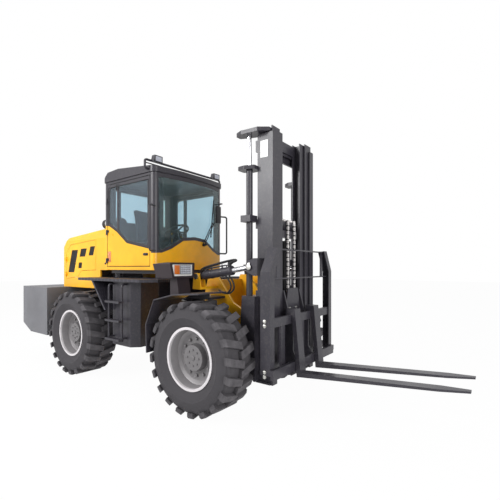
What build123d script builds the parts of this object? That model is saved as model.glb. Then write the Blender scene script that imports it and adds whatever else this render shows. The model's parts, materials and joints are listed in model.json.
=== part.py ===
from build123d import *
import math
import os

# Rough terrain forklift with an articulated frame and a three stage mast.
# Millimetres, X forward, Y to its left, Z up from the ground.
# Lengths along X are measured from the front axle. save() moves each piece to the part's own
# origin, which lies on the ground under the middle of its box.

# General clearances
SEAT_GAP = 0.3
RUN_GAP = 5.0
SHAFT_GAP = 0.05
BITE = 1.0

# Wheels
WHEELBASE = 2450.0
TYRE_R = 595.0
TYRE_WIDTH = 430.0
LUG_HEIGHT = 42.0
LUG_COUNT = 20
LUG_WIDTH = 76.0
LUG_SWEEP = 70.0
LUG_ROOT = 12.0
SHOULDER = 24.0
SIDEWALL_R = 430.0
WHEEL_Y = 815.0
RIM_R = 318.0
RIM_LIP_R = 331.0
RIM_WIDTH = 340.0
RIM_WALL = 14.0
DISC_OFFSET = 18.0
DISC_T = 22.0
HUB_R = 148.0
HUB_CAP = 16.0
SPINDLE_R = 60.0
SPINDLE_BITE = 70.0

# Axles
AXLE_TUBE_R = 92.0
AXLE_DRUM_R = 155.0
AXLE_DRUM_IN = 470.0
AXLE_DRUM_OUT = 690.0
DIFF_R = 200.0
DIFF_HALF = 130.0
DIFF_NECK = 240.0
PAD_HALF_X = 110.0

# Steering pivot between the two halves
PIVOT_X = -1220.0
PIVOT_PIN_R = 40.0
PIVOT_LUG_R = 105.0
PIVOT_LOW_Z = 620.0
PIVOT_HIGH_Z = 1000.0
LUG_T = 45.0
LUG_PLATE_T = 28.0

# Front frame
FRONT_PLATE_IN = 300.0
PLATE_T = 30.0
FRONT_TAIL_X = -960.0
FRONT_LOW_Z = 560.0
FRONT_TOP_Z = 1060.0
TOWER_REAR_X = -330.0
TOWER_FRONT_X = -190.0
TOWER_TOP_Z = 1450.0
TOWER_FOOT = (60.0, 1130.0)
ARM_END = (220.0, 1050.0)
TILT_SHELF_Z = 1292.0
TILT_SHELF_T = 29.0
EAR_T = 15.0
EAR_SPREAD = 30.0

# Front fenders and lamps
FENDER_IN = 600.0
FENDER_OUT = 1028.0
FENDER_T = 14.0
FENDER_ARCH = ((-640.0, 580.0), (-652.0, 900.0), (-505.0, 1190.0), (-190.0, 1262.0), (190.0, 1285.0))
FENDER_ARM = (-400.0, -60.0)
FENDER_ARM_Z = (1180.0, 1204.0)
LAMP_REAR_X = -540.0
LAMP_FRONT_X = -250.0
LAMP_LOW_Z = 1425.0
LAMP_HIGH_Z = 1600.0
LAMP_RIM = 24.0
LAMP_DEEP = 40.0
LAMP_SHELL = ((655.0, LAMP_LOW_Z), (975.0, LAMP_LOW_Z), (1015.0, LAMP_HIGH_Z), (645.0, LAMP_HIGH_Z))
LAMP_OPENING = ((685.0, 1450.0), (950.0, 1450.0), (980.0, 1578.0), (675.0, 1578.0))
LAMP_STAND = (700.0, 880.0)

# Steering cylinders
STEER_BASE_X = -1780.0
STEER_BASE_Y = 230.0
STEER_EYE_X = -1050.0
STEER_EYE_Y = 260.0
STEER_Z = 810.0
STEER_EYE_R = 38.0
STEER_EYE_T = 44.0
STEER_PIN_R = 18.0
STEER_BARREL_R = 36.0
STEER_ROD_R = 20.0
STEER_EAR_T = 16.0
STEER_WINDOW = (735.0, 885.0)

# Mast
MAST_X = 603.5
MAST_LOW_Z = 320.0
MAST_HALF = 460.0
MAST_PIVOT_X = 400.0
MAST_PIVOT_Z = 800.0
MAST_PIN_R = 35.0
MAST_PIN_EYE_R = 78.0
STAGE_GAP = 6.0
TILT_Y = 575.0
TILT_BASE_X = -250.0
TILT_BASE_Z = 1440.0
TILT_EYE_X = 516.0
TILT_EYE_Z = 1550.0
TILT_BARREL_R = 48.0
TILT_ROD_R = 28.0
TILT_EYE_R = 44.0
TILT_EYE_T = 48.0
TILT_PIN_R = 22.0
TILT_CAP_R = 34.0
CAP_T = 12.0
LIFT_CYL_X = 415.0
LIFT_CYL_Y = 480.0
LIFT_CYL_R = 35.0
LIFT_ROD_R = 24.0
LIFT_FOOT_Z = 390.0
LIFT_ROD_LOW_Z = 1040.0
HINGE_TOP_Z = 1240.0
BRACKET_DROP = 372.0
BRACKET_T = 40.0
TIE_T = 24.0
COVER_T = 14.0
ANCHOR_T = 14.0

# Carriage, load guard and forks
BAR_HALF = 700.0
BAR_REAR_X = 780.0
BAR_T = 38.0
BAR_HIGH_Z = 1000.0
BAR_HIGH_H = 90.0
BAR_LOW_Z = 510.0
BAR_LOW_H = 100.0
FORK_Y = 220.0
FORK_WIDTH = 120.0
FORK_T = 45.0
FORK_LENGTH = 1550.0
FORK_TILT = 5.5
FORK_SOLE_Z = 400.0
FORK_TIP_T = 16.0
FORK_POINT = (220.0, 28.0)
FORK_HOOK_H = 60.0
FORK_HOOK_T = 26.0
GUARD_REAR_X = 718.0
GUARD_FRONT_X = 832.0
GUARD_FLANGE = 66.0
GUARD_FLANGE_LOW_Z = 566.0
GUARD_ROD_X = 790.0
GUARD_ROD_R = 8.0
GUARD_ROD_Z = 1432.0
GUARD_ROD_DROP = 14.0
GUARD_T = 12.0
GUARD_LOW_Z = 500.0
GUARD_KNEE_Z = 1500.0
GUARD_TOP_Z = 1745.0
GUARD_TOP_Y = 560.0

# Rear frame, deck and counterweight
BEAM_IN = 330.0
BEAM_T = 26.0
BEAM_LOW_Z = 700.0
BEAM_TOP_Z = 1000.0
FRAME_FRONT_X = -1330.0
FRAME_LOW_Z = 560.0
FRAME_NECK_Z = 1060.0
KICK_X = -1900.0
CAB_POST_W = 60.0
CAB_POST_XS = (-1700.0, -2080.0)
WEIGHT_FRONT_X = -3270.0
WEIGHT_REAR_X = -4280.0
WEIGHT_HALF = 950.0
WEIGHT_TOP_Z = 1220.0
WEIGHT_LOW_Z = 460.0
WEIGHT_CORNER_R = 130.0
TOW_X = WEIGHT_REAR_X + 90.0
TOW_LOW_Z = 680.0
TOW_R = 22.0
TOW_SLOT = ((-80.0, 80.0), (740.0, 840.0))
TOW_SLOT_DEEP = 150.0
DECK_TOP_Z = 1400.0
DECK_T = 36.0
DECK_HALF = 950.0
DECK_FRONT_X = -720.0
DECK_REAR_X = -2300.0
TANK_FRONT_X = -1100.0
TANK_REAR_X = -1590.0
TANK_OUT = 850.0
TANK_IN = 470.0
TANK_LOW_Z = 530.0

# Cab
CAB_HALF = 650.0
CAB_REAR_X = -2130.0
CAB_CORNER_X = -990.0
CAB_FRONT_X = -905.0
CAB_LOW_Z = 1510.0
CAB_ROOF_Z = 2780.0
CAB_WALL = 42.0
CAB_CORNER_R = 62.0
GLASS_T = 9.0
DOOR_REAR_X = -2040.0
DOOR_FRONT_X = -1062.0
DOOR_LOW_Z = 1560.0
DOOR_HIGH_Z = 2740.0
DOOR_GAP = 6.0
DOOR_RAIL = 46.0
CAB_FLOOR_T = 40.0
ROOF_LIP = 16.0
MOUNT_XS = (-2060.0, -1120.0)
MOUNT_HALF = 560.0
MOUNT_R = 55.0

# Seat and steering wheel
SEAT_REAR_X = -1980.0
SEAT_FRONT_X = -1480.0
SEAT_Z = 1800.0
SEAT_TOP_Z = 2460.0
SEAT_HALF = 250.0
DASH_X = -1010.0
WHEEL_CENTRE = (-1290.0, 0.0, 2070.0)
COLUMN_ALONG = (-150.0, 0.0, 270.0)
COLUMN_R = 26.0
WHEEL_RING_R = 180.0
WHEEL_GRIP_R = 13.0
WHEEL_HUB_H = 24.0

# Handrails at the cab's front corners
RAIL_ZS = (1760.0, 2340.0)
RAIL_ROOT_X = -1000.0
RAIL_X = -950.0
RAIL_OUT = 742.0
RAIL_R = 12.0

# Light bar on the roof
LIGHT_X = -1080.0
LIGHT_Z = 2935.0
LIGHT_FOOT_Z = 2820.0
LIGHT_REACH = 715.0
LIGHT_TUBE_R = 15.0
LIGHT_BAR_DROP = 42.0
LIGHT_LAMP_Y = 560.0
LIGHT_LAMP_HALF = 62.0
LIGHT_LAMP_DEEP = 66.0

# Engine block and its bearers
ENGINE_XS = (-3150.0, -2480.0)
ENGINE_ZS = (900.0, 1760.0)
ENGINE_HALF = 290.0
BEARER_XS = (-3050.0, -2620.0)
BEARER_W = 80.0

# Hood
HOOD_HALF = 580.0
HOOD_REAR_X = -3490.0
HOOD_FRONT_X = -2145.0
HOOD_WALL = 26.0
HOOD_STEP_X = -2350.0
HOOD_STEP_Z = 1505.0
HOOD_FRONT_Z = 2150.0
HOOD_REAR_Z = 2040.0
HOOD_SHOULDER_Z = 1890.0
HOOD_FLOOR_Z = 1300.0
GRILLE_HALF = 430.0
GRILLE_ZS = (1330.0, 1800.0)
GRILLE_BARS = 9
GRILLE_BORDER = 30.0
GRILLE_BAR_H = 18.0
HOOD_SLOPE = 140.0
HOOD_TURN_Z = 1990.0
HOOD_LEAN = 130.0
FLAP_REAR_X = -3400.0
FLAP_FRONT_X = -2475.0
FLAP_LOW_Z = 1350.0
FLAP_HIGH_Z = 1925.0

SIDES = (("right", -1.0), ("left", 1.0))


def block(xs, ys, zs):
    """A box between pairs of limits along X, Y and Z."""
    size = [abs(pair[1] - pair[0]) for pair in (xs, ys, zs)]
    middle = [(pair[1] + pair[0]) / 2 for pair in (xs, ys, zs)]
    return Pos(*middle) * Box(*size)


def on_side(side, low, high):
    """The Y limits of something between two distances from the middle, on one side."""
    return (side * low, side * high)


def side_plate(points, ys, radius=0):
    """A plate drawn as (x, z) points and as thick as the pair ys."""
    outline = FilletPolyline([(x, ys[0], z) for x, z in points], radius=radius, close=True)
    return Part() + extrude(make_face(outline), amount=abs(ys[1] - ys[0]),
                            dir=(0, math.copysign(1, ys[1] - ys[0]), 0))


def front_plate(points, xs, radius=0):
    """A plate drawn as (y, z) points and as thick as the pair xs."""
    outline = FilletPolyline([(xs[0], y, z) for y, z in points], radius=radius, close=True)
    return Part() + extrude(make_face(outline), amount=xs[1] - xs[0], dir=(1, 0, 0))


def flat_plate(points, zs, radius=0):
    """A plate drawn as (x, y) points and as thick as the pair zs."""
    outline = FilletPolyline([(x, y, zs[0]) for x, y in points], radius=radius, close=True)
    return Part() + extrude(make_face(outline), amount=zs[1] - zs[0], dir=(0, 0, 1))


def rod(start, end, radius):
    """A round bar from one point to another."""
    start, end = Vector(*start), Vector(*end)
    plane = Plane(origin=start, z_dir=end - start)
    return plane * Cylinder(radius, (end - start).length, align=(Align.CENTER, Align.CENTER, Align.MIN))


def tube_path(points, radius, bend):
    """A bent round bar through points, with the same bend at each corner."""
    path = FilletPolyline(points, radius=bend)
    section = Plane(origin=path @ 0, z_dir=path % 0) * Circle(radius)
    return Part() + sweep(section, path=path)


def turned(profile):
    """A solid turned about the Y axis from (y, r) points."""
    outline = Polyline([(0, y, r) for y, r in profile], close=True)
    return Part() + revolve(make_face(outline), axis=Axis.Y)


def symmetric(half):
    """A profile of (y, r) points from its half on the side of +Y, mirrored to the other side."""
    return half + [(-y, r) for y, r in reversed(half)]


def save(name, *solids):
    """Write one node, moved to the part's own origin."""
    node = Compound(children=[solid for shape in solids for solid in shape.solids()])
    export_step(node.moved(Location((ORIGIN_X, 0, 0))), f"parts/{name}.step")


def mirrored(shape, side):
    """The left hand shape, or its mirror image for the right."""
    return shape if side > 0 else mirror(shape, about=Plane.XZ)


# Wheels

def tyre():
    """A tyre about the Y axis with the outer side towards +Y and bars that meet in a V."""
    half, crown = TYRE_WIDTH / 2, TYRE_R - LUG_HEIGHT
    bead = RIM_WIDTH / 2 - RIM_WALL - SEAT_GAP
    wall = [(bead, RIM_R), (bead, RIM_LIP_R + SEAT_GAP), (half, SIDEWALL_R),
            (half - SHOULDER, crown - SHOULDER),
            (half - 2 * SHOULDER, crown)]
    casing = turned(symmetric(wall))
    envelope = turned(symmetric([(half - 2 * SHOULDER, crown - LUG_ROOT), (half, crown - SHOULDER),
                                 (half, TYRE_R - SHOULDER),
                                 (half - SHOULDER, TYRE_R)]))
    wide = LUG_WIDTH / 2
    pitch = 360 / LUG_COUNT
    lugs = []
    for hand, turn in ((1, 0), (-1, pitch / 2)):
        bar = flat_plate([(-wide, -hand * wide / 2), (wide, -hand * wide / 2),
                          (wide - LUG_SWEEP, hand * half),
                          (-wide - LUG_SWEEP, hand * half)], (crown - 2 * SHOULDER, TYRE_R + LUG_ROOT))
        bar = bar & envelope
        lugs += [Rot(0, turn + pitch * count, 0) * bar for count in range(LUG_COUNT)]
    return casing + lugs


def rim():
    """A pressed wheel about the Y axis with its dish towards +Y."""
    half, inner = RIM_WIDTH / 2, RIM_R - RIM_WALL
    disc_in, disc_out = DISC_OFFSET, DISC_OFFSET + DISC_T
    hub_in, hub_out = SPINDLE_BITE - RIM_WALL - DISC_T, SPINDLE_BITE + HUB_CAP + HUB_CAP
    wheel = turned([(-half, RIM_LIP_R), (-half + RIM_WALL, RIM_LIP_R), (-half + RIM_WALL, RIM_R),
                    (half - RIM_WALL, RIM_R),
                    (half - RIM_WALL, RIM_LIP_R), (half, RIM_LIP_R), (half, inner),
                    (disc_out + RIM_WALL, inner - RIM_WALL),
                    (disc_out, inner - 4 * RIM_WALL), (disc_out, HUB_R), (hub_out, HUB_R - RIM_WALL),
                    (hub_out, 0),
                    (hub_out - HUB_CAP, 0), (hub_out - HUB_CAP, SPINDLE_R + SHAFT_GAP),
                    (-hub_in, SPINDLE_R + SHAFT_GAP),
                    (-hub_in, HUB_R - RIM_WALL), (disc_in, HUB_R + RIM_WALL),
                    (disc_in, inner - RIM_WALL), (disc_in, inner),
                    (-half, inner)])
    return wheel


def axle(x):
    """An axle housing with its differential, end drums and wheel spindles."""
    tip = WHEEL_Y + SPINDLE_BITE
    half = [(0, DIFF_R), (DIFF_HALF, DIFF_R - SHOULDER), (DIFF_NECK, AXLE_TUBE_R),
            (AXLE_DRUM_IN, AXLE_TUBE_R),
            (AXLE_DRUM_IN + SHOULDER, AXLE_DRUM_R), (AXLE_DRUM_OUT, AXLE_DRUM_R),
            (AXLE_DRUM_OUT, SPINDLE_R), (tip, SPINDLE_R)]
    profile = [(-y, r) for y, r in reversed(half[1:])] + half
    return Pos(x, 0, TYRE_R) * turned([(-tip, 0)] + profile + [(tip, 0)])


def axle_pads(x, side, plate_in, top_z):
    """The saddle that joins a frame plate to the axle tube under it."""
    saddle = block((x - PAD_HALF_X, x + PAD_HALF_X), on_side(side, plate_in, plate_in + PLATE_T),
                   (TYRE_R, top_z))
    return saddle - rod((x, side * (plate_in - PLATE_T), TYRE_R),
                        (x, side * (plate_in + 2 * PLATE_T), TYRE_R),
                        AXLE_TUBE_R + SEAT_GAP)


# Front half

def front_frame():
    """Two arched side plates joined by cross plates, with the pivot lugs at the back."""
    nose_x = MAST_PIVOT_X + MAST_PIN_EYE_R
    belly_z = TYRE_R + PAD_HALF_X
    arch = [(FRONT_TAIL_X, FRONT_LOW_Z), (FRONT_TAIL_X, FRONT_TOP_Z),
            (TOWER_REAR_X - 3 * PLATE_T, FRONT_TOP_Z + 2 * PLATE_T),
            (TOWER_REAR_X, TOWER_TOP_Z), (TOWER_FRONT_X, TOWER_TOP_Z), TOWER_FOOT,
            (nose_x - 38, MAST_PIVOT_Z + 140),
            (nose_x, MAST_PIVOT_Z + 40), (nose_x, MAST_PIVOT_Z - 50),
            (MAST_PIVOT_X - 40, MAST_PIVOT_Z - 110),
            (180, belly_z), (-180, belly_z), (-420, FRONT_LOW_Z)]
    frame = Part()
    for _, side in SIDES:
        plate = side_plate(arch, on_side(side, FRONT_PLATE_IN, FRONT_PLATE_IN + PLATE_T), radius=25)
        plate += axle_pads(0, side, FRONT_PLATE_IN, belly_z + PLATE_T)
        plate -= rod((MAST_PIVOT_X, side * 200, MAST_PIVOT_Z), (MAST_PIVOT_X, side * 500, MAST_PIVOT_Z),
                     MAST_PIN_R + SHAFT_GAP)
        frame += plate + tilt_shelf(side)
    # Cross plates between the side plates: x limits, z limits
    well_x = -420
    crosses = (((FRONT_TAIL_X, FRONT_TAIL_X + PLATE_T), (FRONT_LOW_Z, FRONT_TOP_Z)),
               ((well_x, well_x + PLATE_T), (FRONT_LOW_Z, FRONT_TOP_Z)),
               ((TOWER_REAR_X, TOWER_REAR_X + PLATE_T), (TYRE_R + DIFF_R + PLATE_T,
                                                         TOWER_TOP_Z - 2 * PLATE_T)),
               ((FRONT_TAIL_X, TOWER_REAR_X - 2 * PLATE_T), (FRONT_TOP_Z - PLATE_T, FRONT_TOP_Z)),
               ((ARM_END[0] + 10, ARM_END[0] + 10 + PLATE_T), (belly_z + 2 * PLATE_T, 980)))
    for xs, zs in crosses:
        frame += block(xs, (-FRONT_PLATE_IN, FRONT_PLATE_IN), zs)
    for z in (PIVOT_LOW_Z, PIVOT_HIGH_Z):
        half = PIVOT_LUG_R
        lug = flat_plate([(FRONT_TAIL_X + BITE, -2 * half), (FRONT_TAIL_X + BITE, 2 * half),
                          (PIVOT_X, half), (PIVOT_X, -half)],
                         (z - LUG_T / 2, z + LUG_T / 2))
        lug += Pos(PIVOT_X, 0, z) * Cylinder(half, LUG_T)
        frame += lug - Pos(PIVOT_X, 0, z) * Cylinder(PIVOT_PIN_R + SHAFT_GAP, 2 * LUG_T)
    for _, side in SIDES:
        frame += steer_ears(side)
    return frame


def tilt_shelf(side):
    """The shelf with the two ears that hold a tilt cylinder's base."""
    rear, front = TILT_BASE_X - 60, TILT_BASE_X + 70
    edge, out = FRONT_PLATE_IN + PLATE_T, TILT_Y + EAR_SPREAD + EAR_T
    shelf = block((rear, front), on_side(side, edge - 5 * BITE, out),
                  (TILT_SHELF_Z - BITE, TILT_SHELF_Z + TILT_SHELF_T))
    for y in (TILT_Y - EAR_SPREAD - EAR_T, TILT_Y + EAR_SPREAD):
        shelf += side_plate([(rear, TILT_SHELF_Z), (rear + EAR_T, TILT_BASE_Z + 40),
                             (front - 25, TILT_BASE_Z + 40), (front, TILT_SHELF_Z)],
                            on_side(side, y, y + EAR_T))
    return shelf - rod((TILT_BASE_X, side * edge, TILT_BASE_Z),
                       (TILT_BASE_X, side * (out + BITE), TILT_BASE_Z), TILT_PIN_R + SHAFT_GAP)


def steer_ears(side):
    """The two ears behind the front frame between which a steering cylinder's rod eye is pinned."""
    ears = Part()
    y = side * STEER_EYE_Y
    for lift in (-1, 1):
        face = STEER_Z + lift * (STEER_EYE_T / 2 + RUN_GAP + BITE)
        far = face + lift * STEER_EAR_T
        outline = [(FRONT_TAIL_X + BITE, y - side * 70), (FRONT_TAIL_X + BITE, side * FRONT_PLATE_IN),
                   (STEER_EYE_X, y + side * 30),
                   (STEER_EYE_X - 30, y), (STEER_EYE_X, y - side * 30)]
        ears += flat_plate(outline, sorted((face, far)))
        ears += rod((STEER_EYE_X, y, far - lift * BITE), (STEER_EYE_X, y, far + lift * 10), 26)
    return ears


def fender_underside(ys, drop=0.0):
    """The space under the top of a fender's arch, between two limits along Y."""
    (_, _), (_, _), (rear_x, rear_z), (mid_x, mid_z), (front_x, front_z) = FENDER_ARCH
    return side_plate([(rear_x - 15, 1100), (rear_x, rear_z + drop), (mid_x, mid_z + drop),
                       (front_x, front_z + drop), (front_x, 1100)], ys)


def fenders():
    """Angular wheel arches with a flank on the inside, on brackets from the frame."""
    step = FENDER_ARCH[2][0]
    inner = [(x, z - FENDER_T) if x >= step else (x + FENDER_T, z) for x, z in FENDER_ARCH]
    outline = list(FENDER_ARCH) + list(reversed(inner))
    result = []
    for _, side in SIDES:
        fender = side_plate(outline, on_side(side, FENDER_IN, FENDER_OUT))
        fender += block(FENDER_ARM, on_side(side, FRONT_PLATE_IN + PLATE_T + SEAT_GAP,
                                            FENDER_IN + RUN_GAP), FENDER_ARM_Z)
        flank = block(FENDER_ARM, on_side(side, FENDER_IN, FENDER_IN + FENDER_T),
                      (FENDER_ARM_Z[0], FENDER_ARM_Z[1] + 4 * FENDER_T))
        fender += flank & fender_underside(on_side(side, FENDER_IN - 10, FENDER_IN + 20))
        result.append(fender)
    return result


def headlamps():
    """Lamp housings on stands over the fenders: stand and housing, then lens."""
    housings, lenses = [], []
    for _, side in SIDES:
        shell = front_plate([(side * y, z) for y, z in LAMP_SHELL], (LAMP_REAR_X, LAMP_FRONT_X), radius=18)
        shell &= side_plate([(LAMP_REAR_X + 20, LAMP_LOW_Z + 3), (LAMP_FRONT_X, LAMP_LOW_Z - RUN_GAP),
                             (LAMP_FRONT_X, LAMP_HIGH_Z + RUN_GAP),
                             (LAMP_REAR_X, LAMP_HIGH_Z - 15)], on_side(side, FENDER_IN, FENDER_OUT + 40))
        window = [(side * y, z) for y, z in LAMP_OPENING]
        shell -= front_plate(window, (LAMP_FRONT_X - LAMP_DEEP, LAMP_FRONT_X + BITE), radius=12)
        stand = side_plate([(-400, 1150), (-400, LAMP_LOW_Z + 15), (-290, LAMP_LOW_Z + 15),
                            (LAMP_FRONT_X, 1200)], on_side(side, *LAMP_STAND))
        housings.append(stand - fender_underside(on_side(side, FENDER_IN, 2 * LAMP_STAND[1]),
                                                 SEAT_GAP) + shell)
        inside = [(y - math.copysign(BITE, y - side * 820), z - math.copysign(BITE, z - 1510)) for y,
                  z in window]
        lenses.append(front_plate(inside, (LAMP_FRONT_X - LAMP_DEEP + SEAT_GAP, LAMP_FRONT_X - CAP_T),
                                  radius=11))
    return housings, lenses


# Tilt and steering cylinders: barrel with its base eye, rod with its front eye.

def cylinder(base, tip, across, size):
    """A barrel and a rod between two pins along a direction, with room for the rod to close.

    size holds the radii of barrel, rod, eye and pin, the eye's thickness, the barrel's share, the stroke."""
    base, tip, across = Vector(*base), Vector(*tip), Vector(*across)
    along = (tip - base).normalized()
    head = base + along * ((tip - base).length * size["share"])
    eye_r, eye_t = size["eye_r"], size["eye_t"]

    def bar(start, end, radius):
        return rod(tuple(start), tuple(end), radius)

    def eye(centre):
        ring = bar(centre - across * (eye_t / 2), centre + across * (eye_t / 2), eye_r)
        return ring - bar(centre - across * eye_t, centre + across * eye_t, size["pin_r"] + SHAFT_GAP)

    foot = base + along * (2 * eye_r)
    barrel = bar(foot, head, size["barrel_r"]) + bar(base + along * (eye_r - 4), foot + along * 10,
                                                     eye_t / 2)
    barrel -= bar(foot + along * CAP_T, head + along, size["rod_r"] + RUN_GAP)
    gland = bar(head - along * 40, head, size["barrel_r"] + 4)
    barrel = barrel + eye(base) + (gland - bar(head - along * 60, head + along, size["rod_r"] + SHAFT_GAP))
    stem = bar(foot + along * (size["closing"] + 22), tip - along * (eye_r - 4), size["rod_r"])
    return barrel, stem + eye(tip)


TILT_CYLINDER = {"barrel_r": TILT_BARREL_R, "rod_r": TILT_ROD_R, "eye_r": TILT_EYE_R, "eye_t": TILT_EYE_T,
                 "pin_r": TILT_PIN_R, "share": 0.66, "closing": 160.0}
STEER_CYLINDER = {"barrel_r": STEER_BARREL_R, "rod_r": STEER_ROD_R, "eye_r": STEER_EYE_R,
                  "eye_t": STEER_EYE_T,
                  "pin_r": STEER_PIN_R, "share": 0.7, "closing": 140.0}


def pin_caps(x, z, y_in, y_out, radius, pin_r):
    """Pins through a pair of ears with a round cap on the outside, on both sides."""
    return [rod((x, side * y_in, z), (x, side * (y_out + CAP_T), z), pin_r)
            + rod((x, side * (y_out + SEAT_GAP), z), (x, side * (y_out + CAP_T), z), radius) for _,
            side in SIDES]


# Mast stages: half depth, web's outer face, web thickness, flange thickness, flange ends in Y.
STAGES = {
    "outer": {"deep": 96.5, "web": 460.0, "web_t": 18.0, "flange_t": 16.0, "reach": (372.0, 460.0),
              "top": 2962.0},
    "middle": {"deep": 74.5, "web": 366.0, "web_t": 16.0, "flange_t": 14.0, "reach": (286.0, 436.0),
               "top": 3035.0},
    "inner": {"deep": 54.5, "web": 280.0, "web_t": 14.0, "flange_t": 12.0, "reach": (196.0, 344.0),
              "top": 3020.0},
}


def rails(stage, low_z):
    """Both rails of one mast stage."""
    size = STAGES[stage]
    result = []
    for _, side in SIDES:
        web = block((MAST_X - size["deep"], MAST_X + size["deep"]),
                    on_side(side, size["web"] - size["web_t"], size["web"]), (low_z, size["top"]))
        for front in (-1, 1):
            edge = MAST_X + front * size["deep"]
            web += block((edge - front * size["flange_t"], edge), on_side(side, *size["reach"]),
                         (low_z, size["top"]))
            if stage != "outer":
                pad = on_side(side, size["reach"][1] - 44, size["reach"][1] - 6)
                web += block((edge - front, edge + front * (STAGE_GAP - SEAT_GAP)), pad,
                             (low_z, low_z + 120))
        result.append(web)
    return result


def rear_face(stage):
    """The X of the back of one mast stage."""
    return MAST_X - STAGES[stage]["deep"]


def tie(stage, half, zs):
    """A level plate that joins both rails of a stage at its rear flanges."""
    rear = rear_face(stage)
    return block((rear, rear + STAGES[stage]["flange_t"]), (-half, half), zs)


def outer_mast():
    """The fixed stage with its ties, hinge brackets and the ears of the tilt cylinders."""
    mast = Part() + rails("outer", MAST_LOW_Z)
    rear, top = rear_face("outer"), STAGES["outer"]["top"]
    for zs in ((380, 520), (1180, 1300), (1960, 2060), (top - 182, top - 62)):
        mast += block((rear - TIE_T, rear + BITE), (-MAST_HALF, MAST_HALF), zs)
    for _, side in SIDES:
        mast += hinge_bracket(side) + tilt_ears(side)
        mast += block((rear - 20, MAST_X + 70), on_side(side, 350, MAST_HALF + 10),
                      (MAST_LOW_Z, MAST_LOW_Z + TIE_T))
    return mast


def hinge_bracket(side):
    """The mast's hinge: an ear beside the frame, and a cover, a lid and a foot for the lift cylinder."""
    rear, rear_x, ear_in, out = rear_face("outer"), MAST_PIVOT_X - 46, FRONT_PLATE_IN + PLATE_T + 6, 536
    outline = [(rear + BITE, HINGE_TOP_Z), (rear_x, HINGE_TOP_Z), (MAST_PIVOT_X - 70, MAST_PIVOT_Z + 100),
               (MAST_PIVOT_X - 80, MAST_PIVOT_Z - 40), (rear - 130, 500), (rear + BITE, 345)]
    ear = side_plate(outline, on_side(side, ear_in, ear_in + PLATE_T))
    ear -= rod((MAST_PIVOT_X, side * FRONT_PLATE_IN, MAST_PIVOT_Z),
               (MAST_PIVOT_X, side * out, MAST_PIVOT_Z), MAST_PIN_R + SHAFT_GAP)
    bracket = ear + side_plate(outline, on_side(side, out - COVER_T, out))
    bracket += block((rear_x, rear + BITE), on_side(side, ear_in, out),
                     (HINGE_TOP_Z - COVER_T, HINGE_TOP_Z))
    bracket += block((rear, rear + COVER_T), on_side(side, MAST_HALF - BITE, out), (345, HINGE_TOP_Z))
    foot = block((LIFT_CYL_X - 60, rear + BITE), on_side(side, ear_in, out),
                 (LIFT_FOOT_Z - 26, LIFT_FOOT_Z - SEAT_GAP))
    bracket += foot & side_plate(outline, on_side(side, FRONT_PLATE_IN, out + PLATE_T))
    return bracket - rod((LIFT_CYL_X, side * LIFT_CYL_Y, MAST_PIVOT_Z),
                         (LIFT_CYL_X, side * LIFT_CYL_Y, HINGE_TOP_Z + PLATE_T),
                         LIFT_CYL_R + SEAT_GAP)


def tilt_ears(side):
    """The block and the pair of ears, with bosses, that take the head of a tilt cylinder."""
    front = rear_face("outer") + 110
    ears = block((TILT_EYE_X + 66, front), on_side(side, MAST_HALF - 4, TILT_Y + EAR_SPREAD + EAR_T),
                 (TILT_EYE_Z - 90, TILT_EYE_Z + 90))
    outline = [(TILT_EYE_X - 38, TILT_EYE_Z - 50), (TILT_EYE_X - 50, TILT_EYE_Z),
               (TILT_EYE_X - 38, TILT_EYE_Z + 50),
               (front - 50, TILT_EYE_Z + 90), (front, TILT_EYE_Z + 90), (front, TILT_EYE_Z - 90),
               (front - 50, TILT_EYE_Z - 90)]
    for y, boss in ((TILT_Y - EAR_SPREAD - EAR_T, -8), (TILT_Y + EAR_SPREAD, EAR_T + CAP_T)):
        ears += side_plate(outline, on_side(side, y, y + EAR_T))
        ears += rod((TILT_EYE_X, side * (y + EAR_T / 2), TILT_EYE_Z),
                    (TILT_EYE_X, side * (y + boss), TILT_EYE_Z), 30)
    return ears


def bracket_low_z():
    """The underside of the brackets that hold the heads of the lift cylinders."""
    return STAGES["outer"]["top"] - BRACKET_DROP


def horn_low_z():
    """The underside of the middle stage's head brackets, just over the top of the outer stage."""
    return STAGES["outer"]["top"] + RUN_GAP + 2


def lift_barrels():
    """The two lift cylinders behind the rails with their head brackets and clamps."""
    result = []
    rear = rear_face("outer") - SEAT_GAP
    low, top = bracket_low_z(), bracket_low_z() + BRACKET_T
    # Head bracket: x, distance from the middle
    outline = ((rear, 380), (rear, 522), (LIFT_CYL_X - 20, 560), (LIFT_CYL_X - 110, 545),
               (LIFT_CYL_X - 110, 440), (LIFT_CYL_X - 30, 380))
    for _, side in SIDES:
        y = side * LIFT_CYL_Y
        barrel = rod((LIFT_CYL_X, y, LIFT_FOOT_Z), (LIFT_CYL_X, y, top), LIFT_CYL_R)
        barrel += flat_plate([(x, side * reach) for x, reach in outline], (low, top), radius=14)
        barrel += block((LIFT_CYL_X - 60, rear - TIE_T), on_side(side, 430, 560), (2030, 2100))
        barrel -= rod((LIFT_CYL_X, y, LIFT_ROD_LOW_Z - 20), (LIFT_CYL_X, y, top + BITE),
                      LIFT_ROD_R + SHAFT_GAP)
        result.append(barrel)
    return result


def middle_mast():
    """The middle stage with ties and the head brackets that the lift rods push."""
    top, low = STAGES["middle"]["top"], horn_low_z()
    mast = Part() + rails("middle", MAST_LOW_Z + 30)
    for zs in ((top - 185, top - 73), (400, 480), (1560, 1640)):
        mast += tie("middle", 300, zs)
    # Head bracket: x, distance from the middle
    outline = ((MAST_X + 60, 360), (MAST_X + 60, 470), (MAST_X - 40, 545), (LIFT_CYL_X - 60, 560),
               (LIFT_CYL_X - 150, 520),
               (LIFT_CYL_X - 150, 450), (LIFT_CYL_X - 40, 400), (MAST_X - 90, 360))
    for _, side in SIDES:
        mast += flat_plate([(x, side * reach) for x, reach in outline], (low, low + BRACKET_T), radius=16)
    return mast


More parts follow.
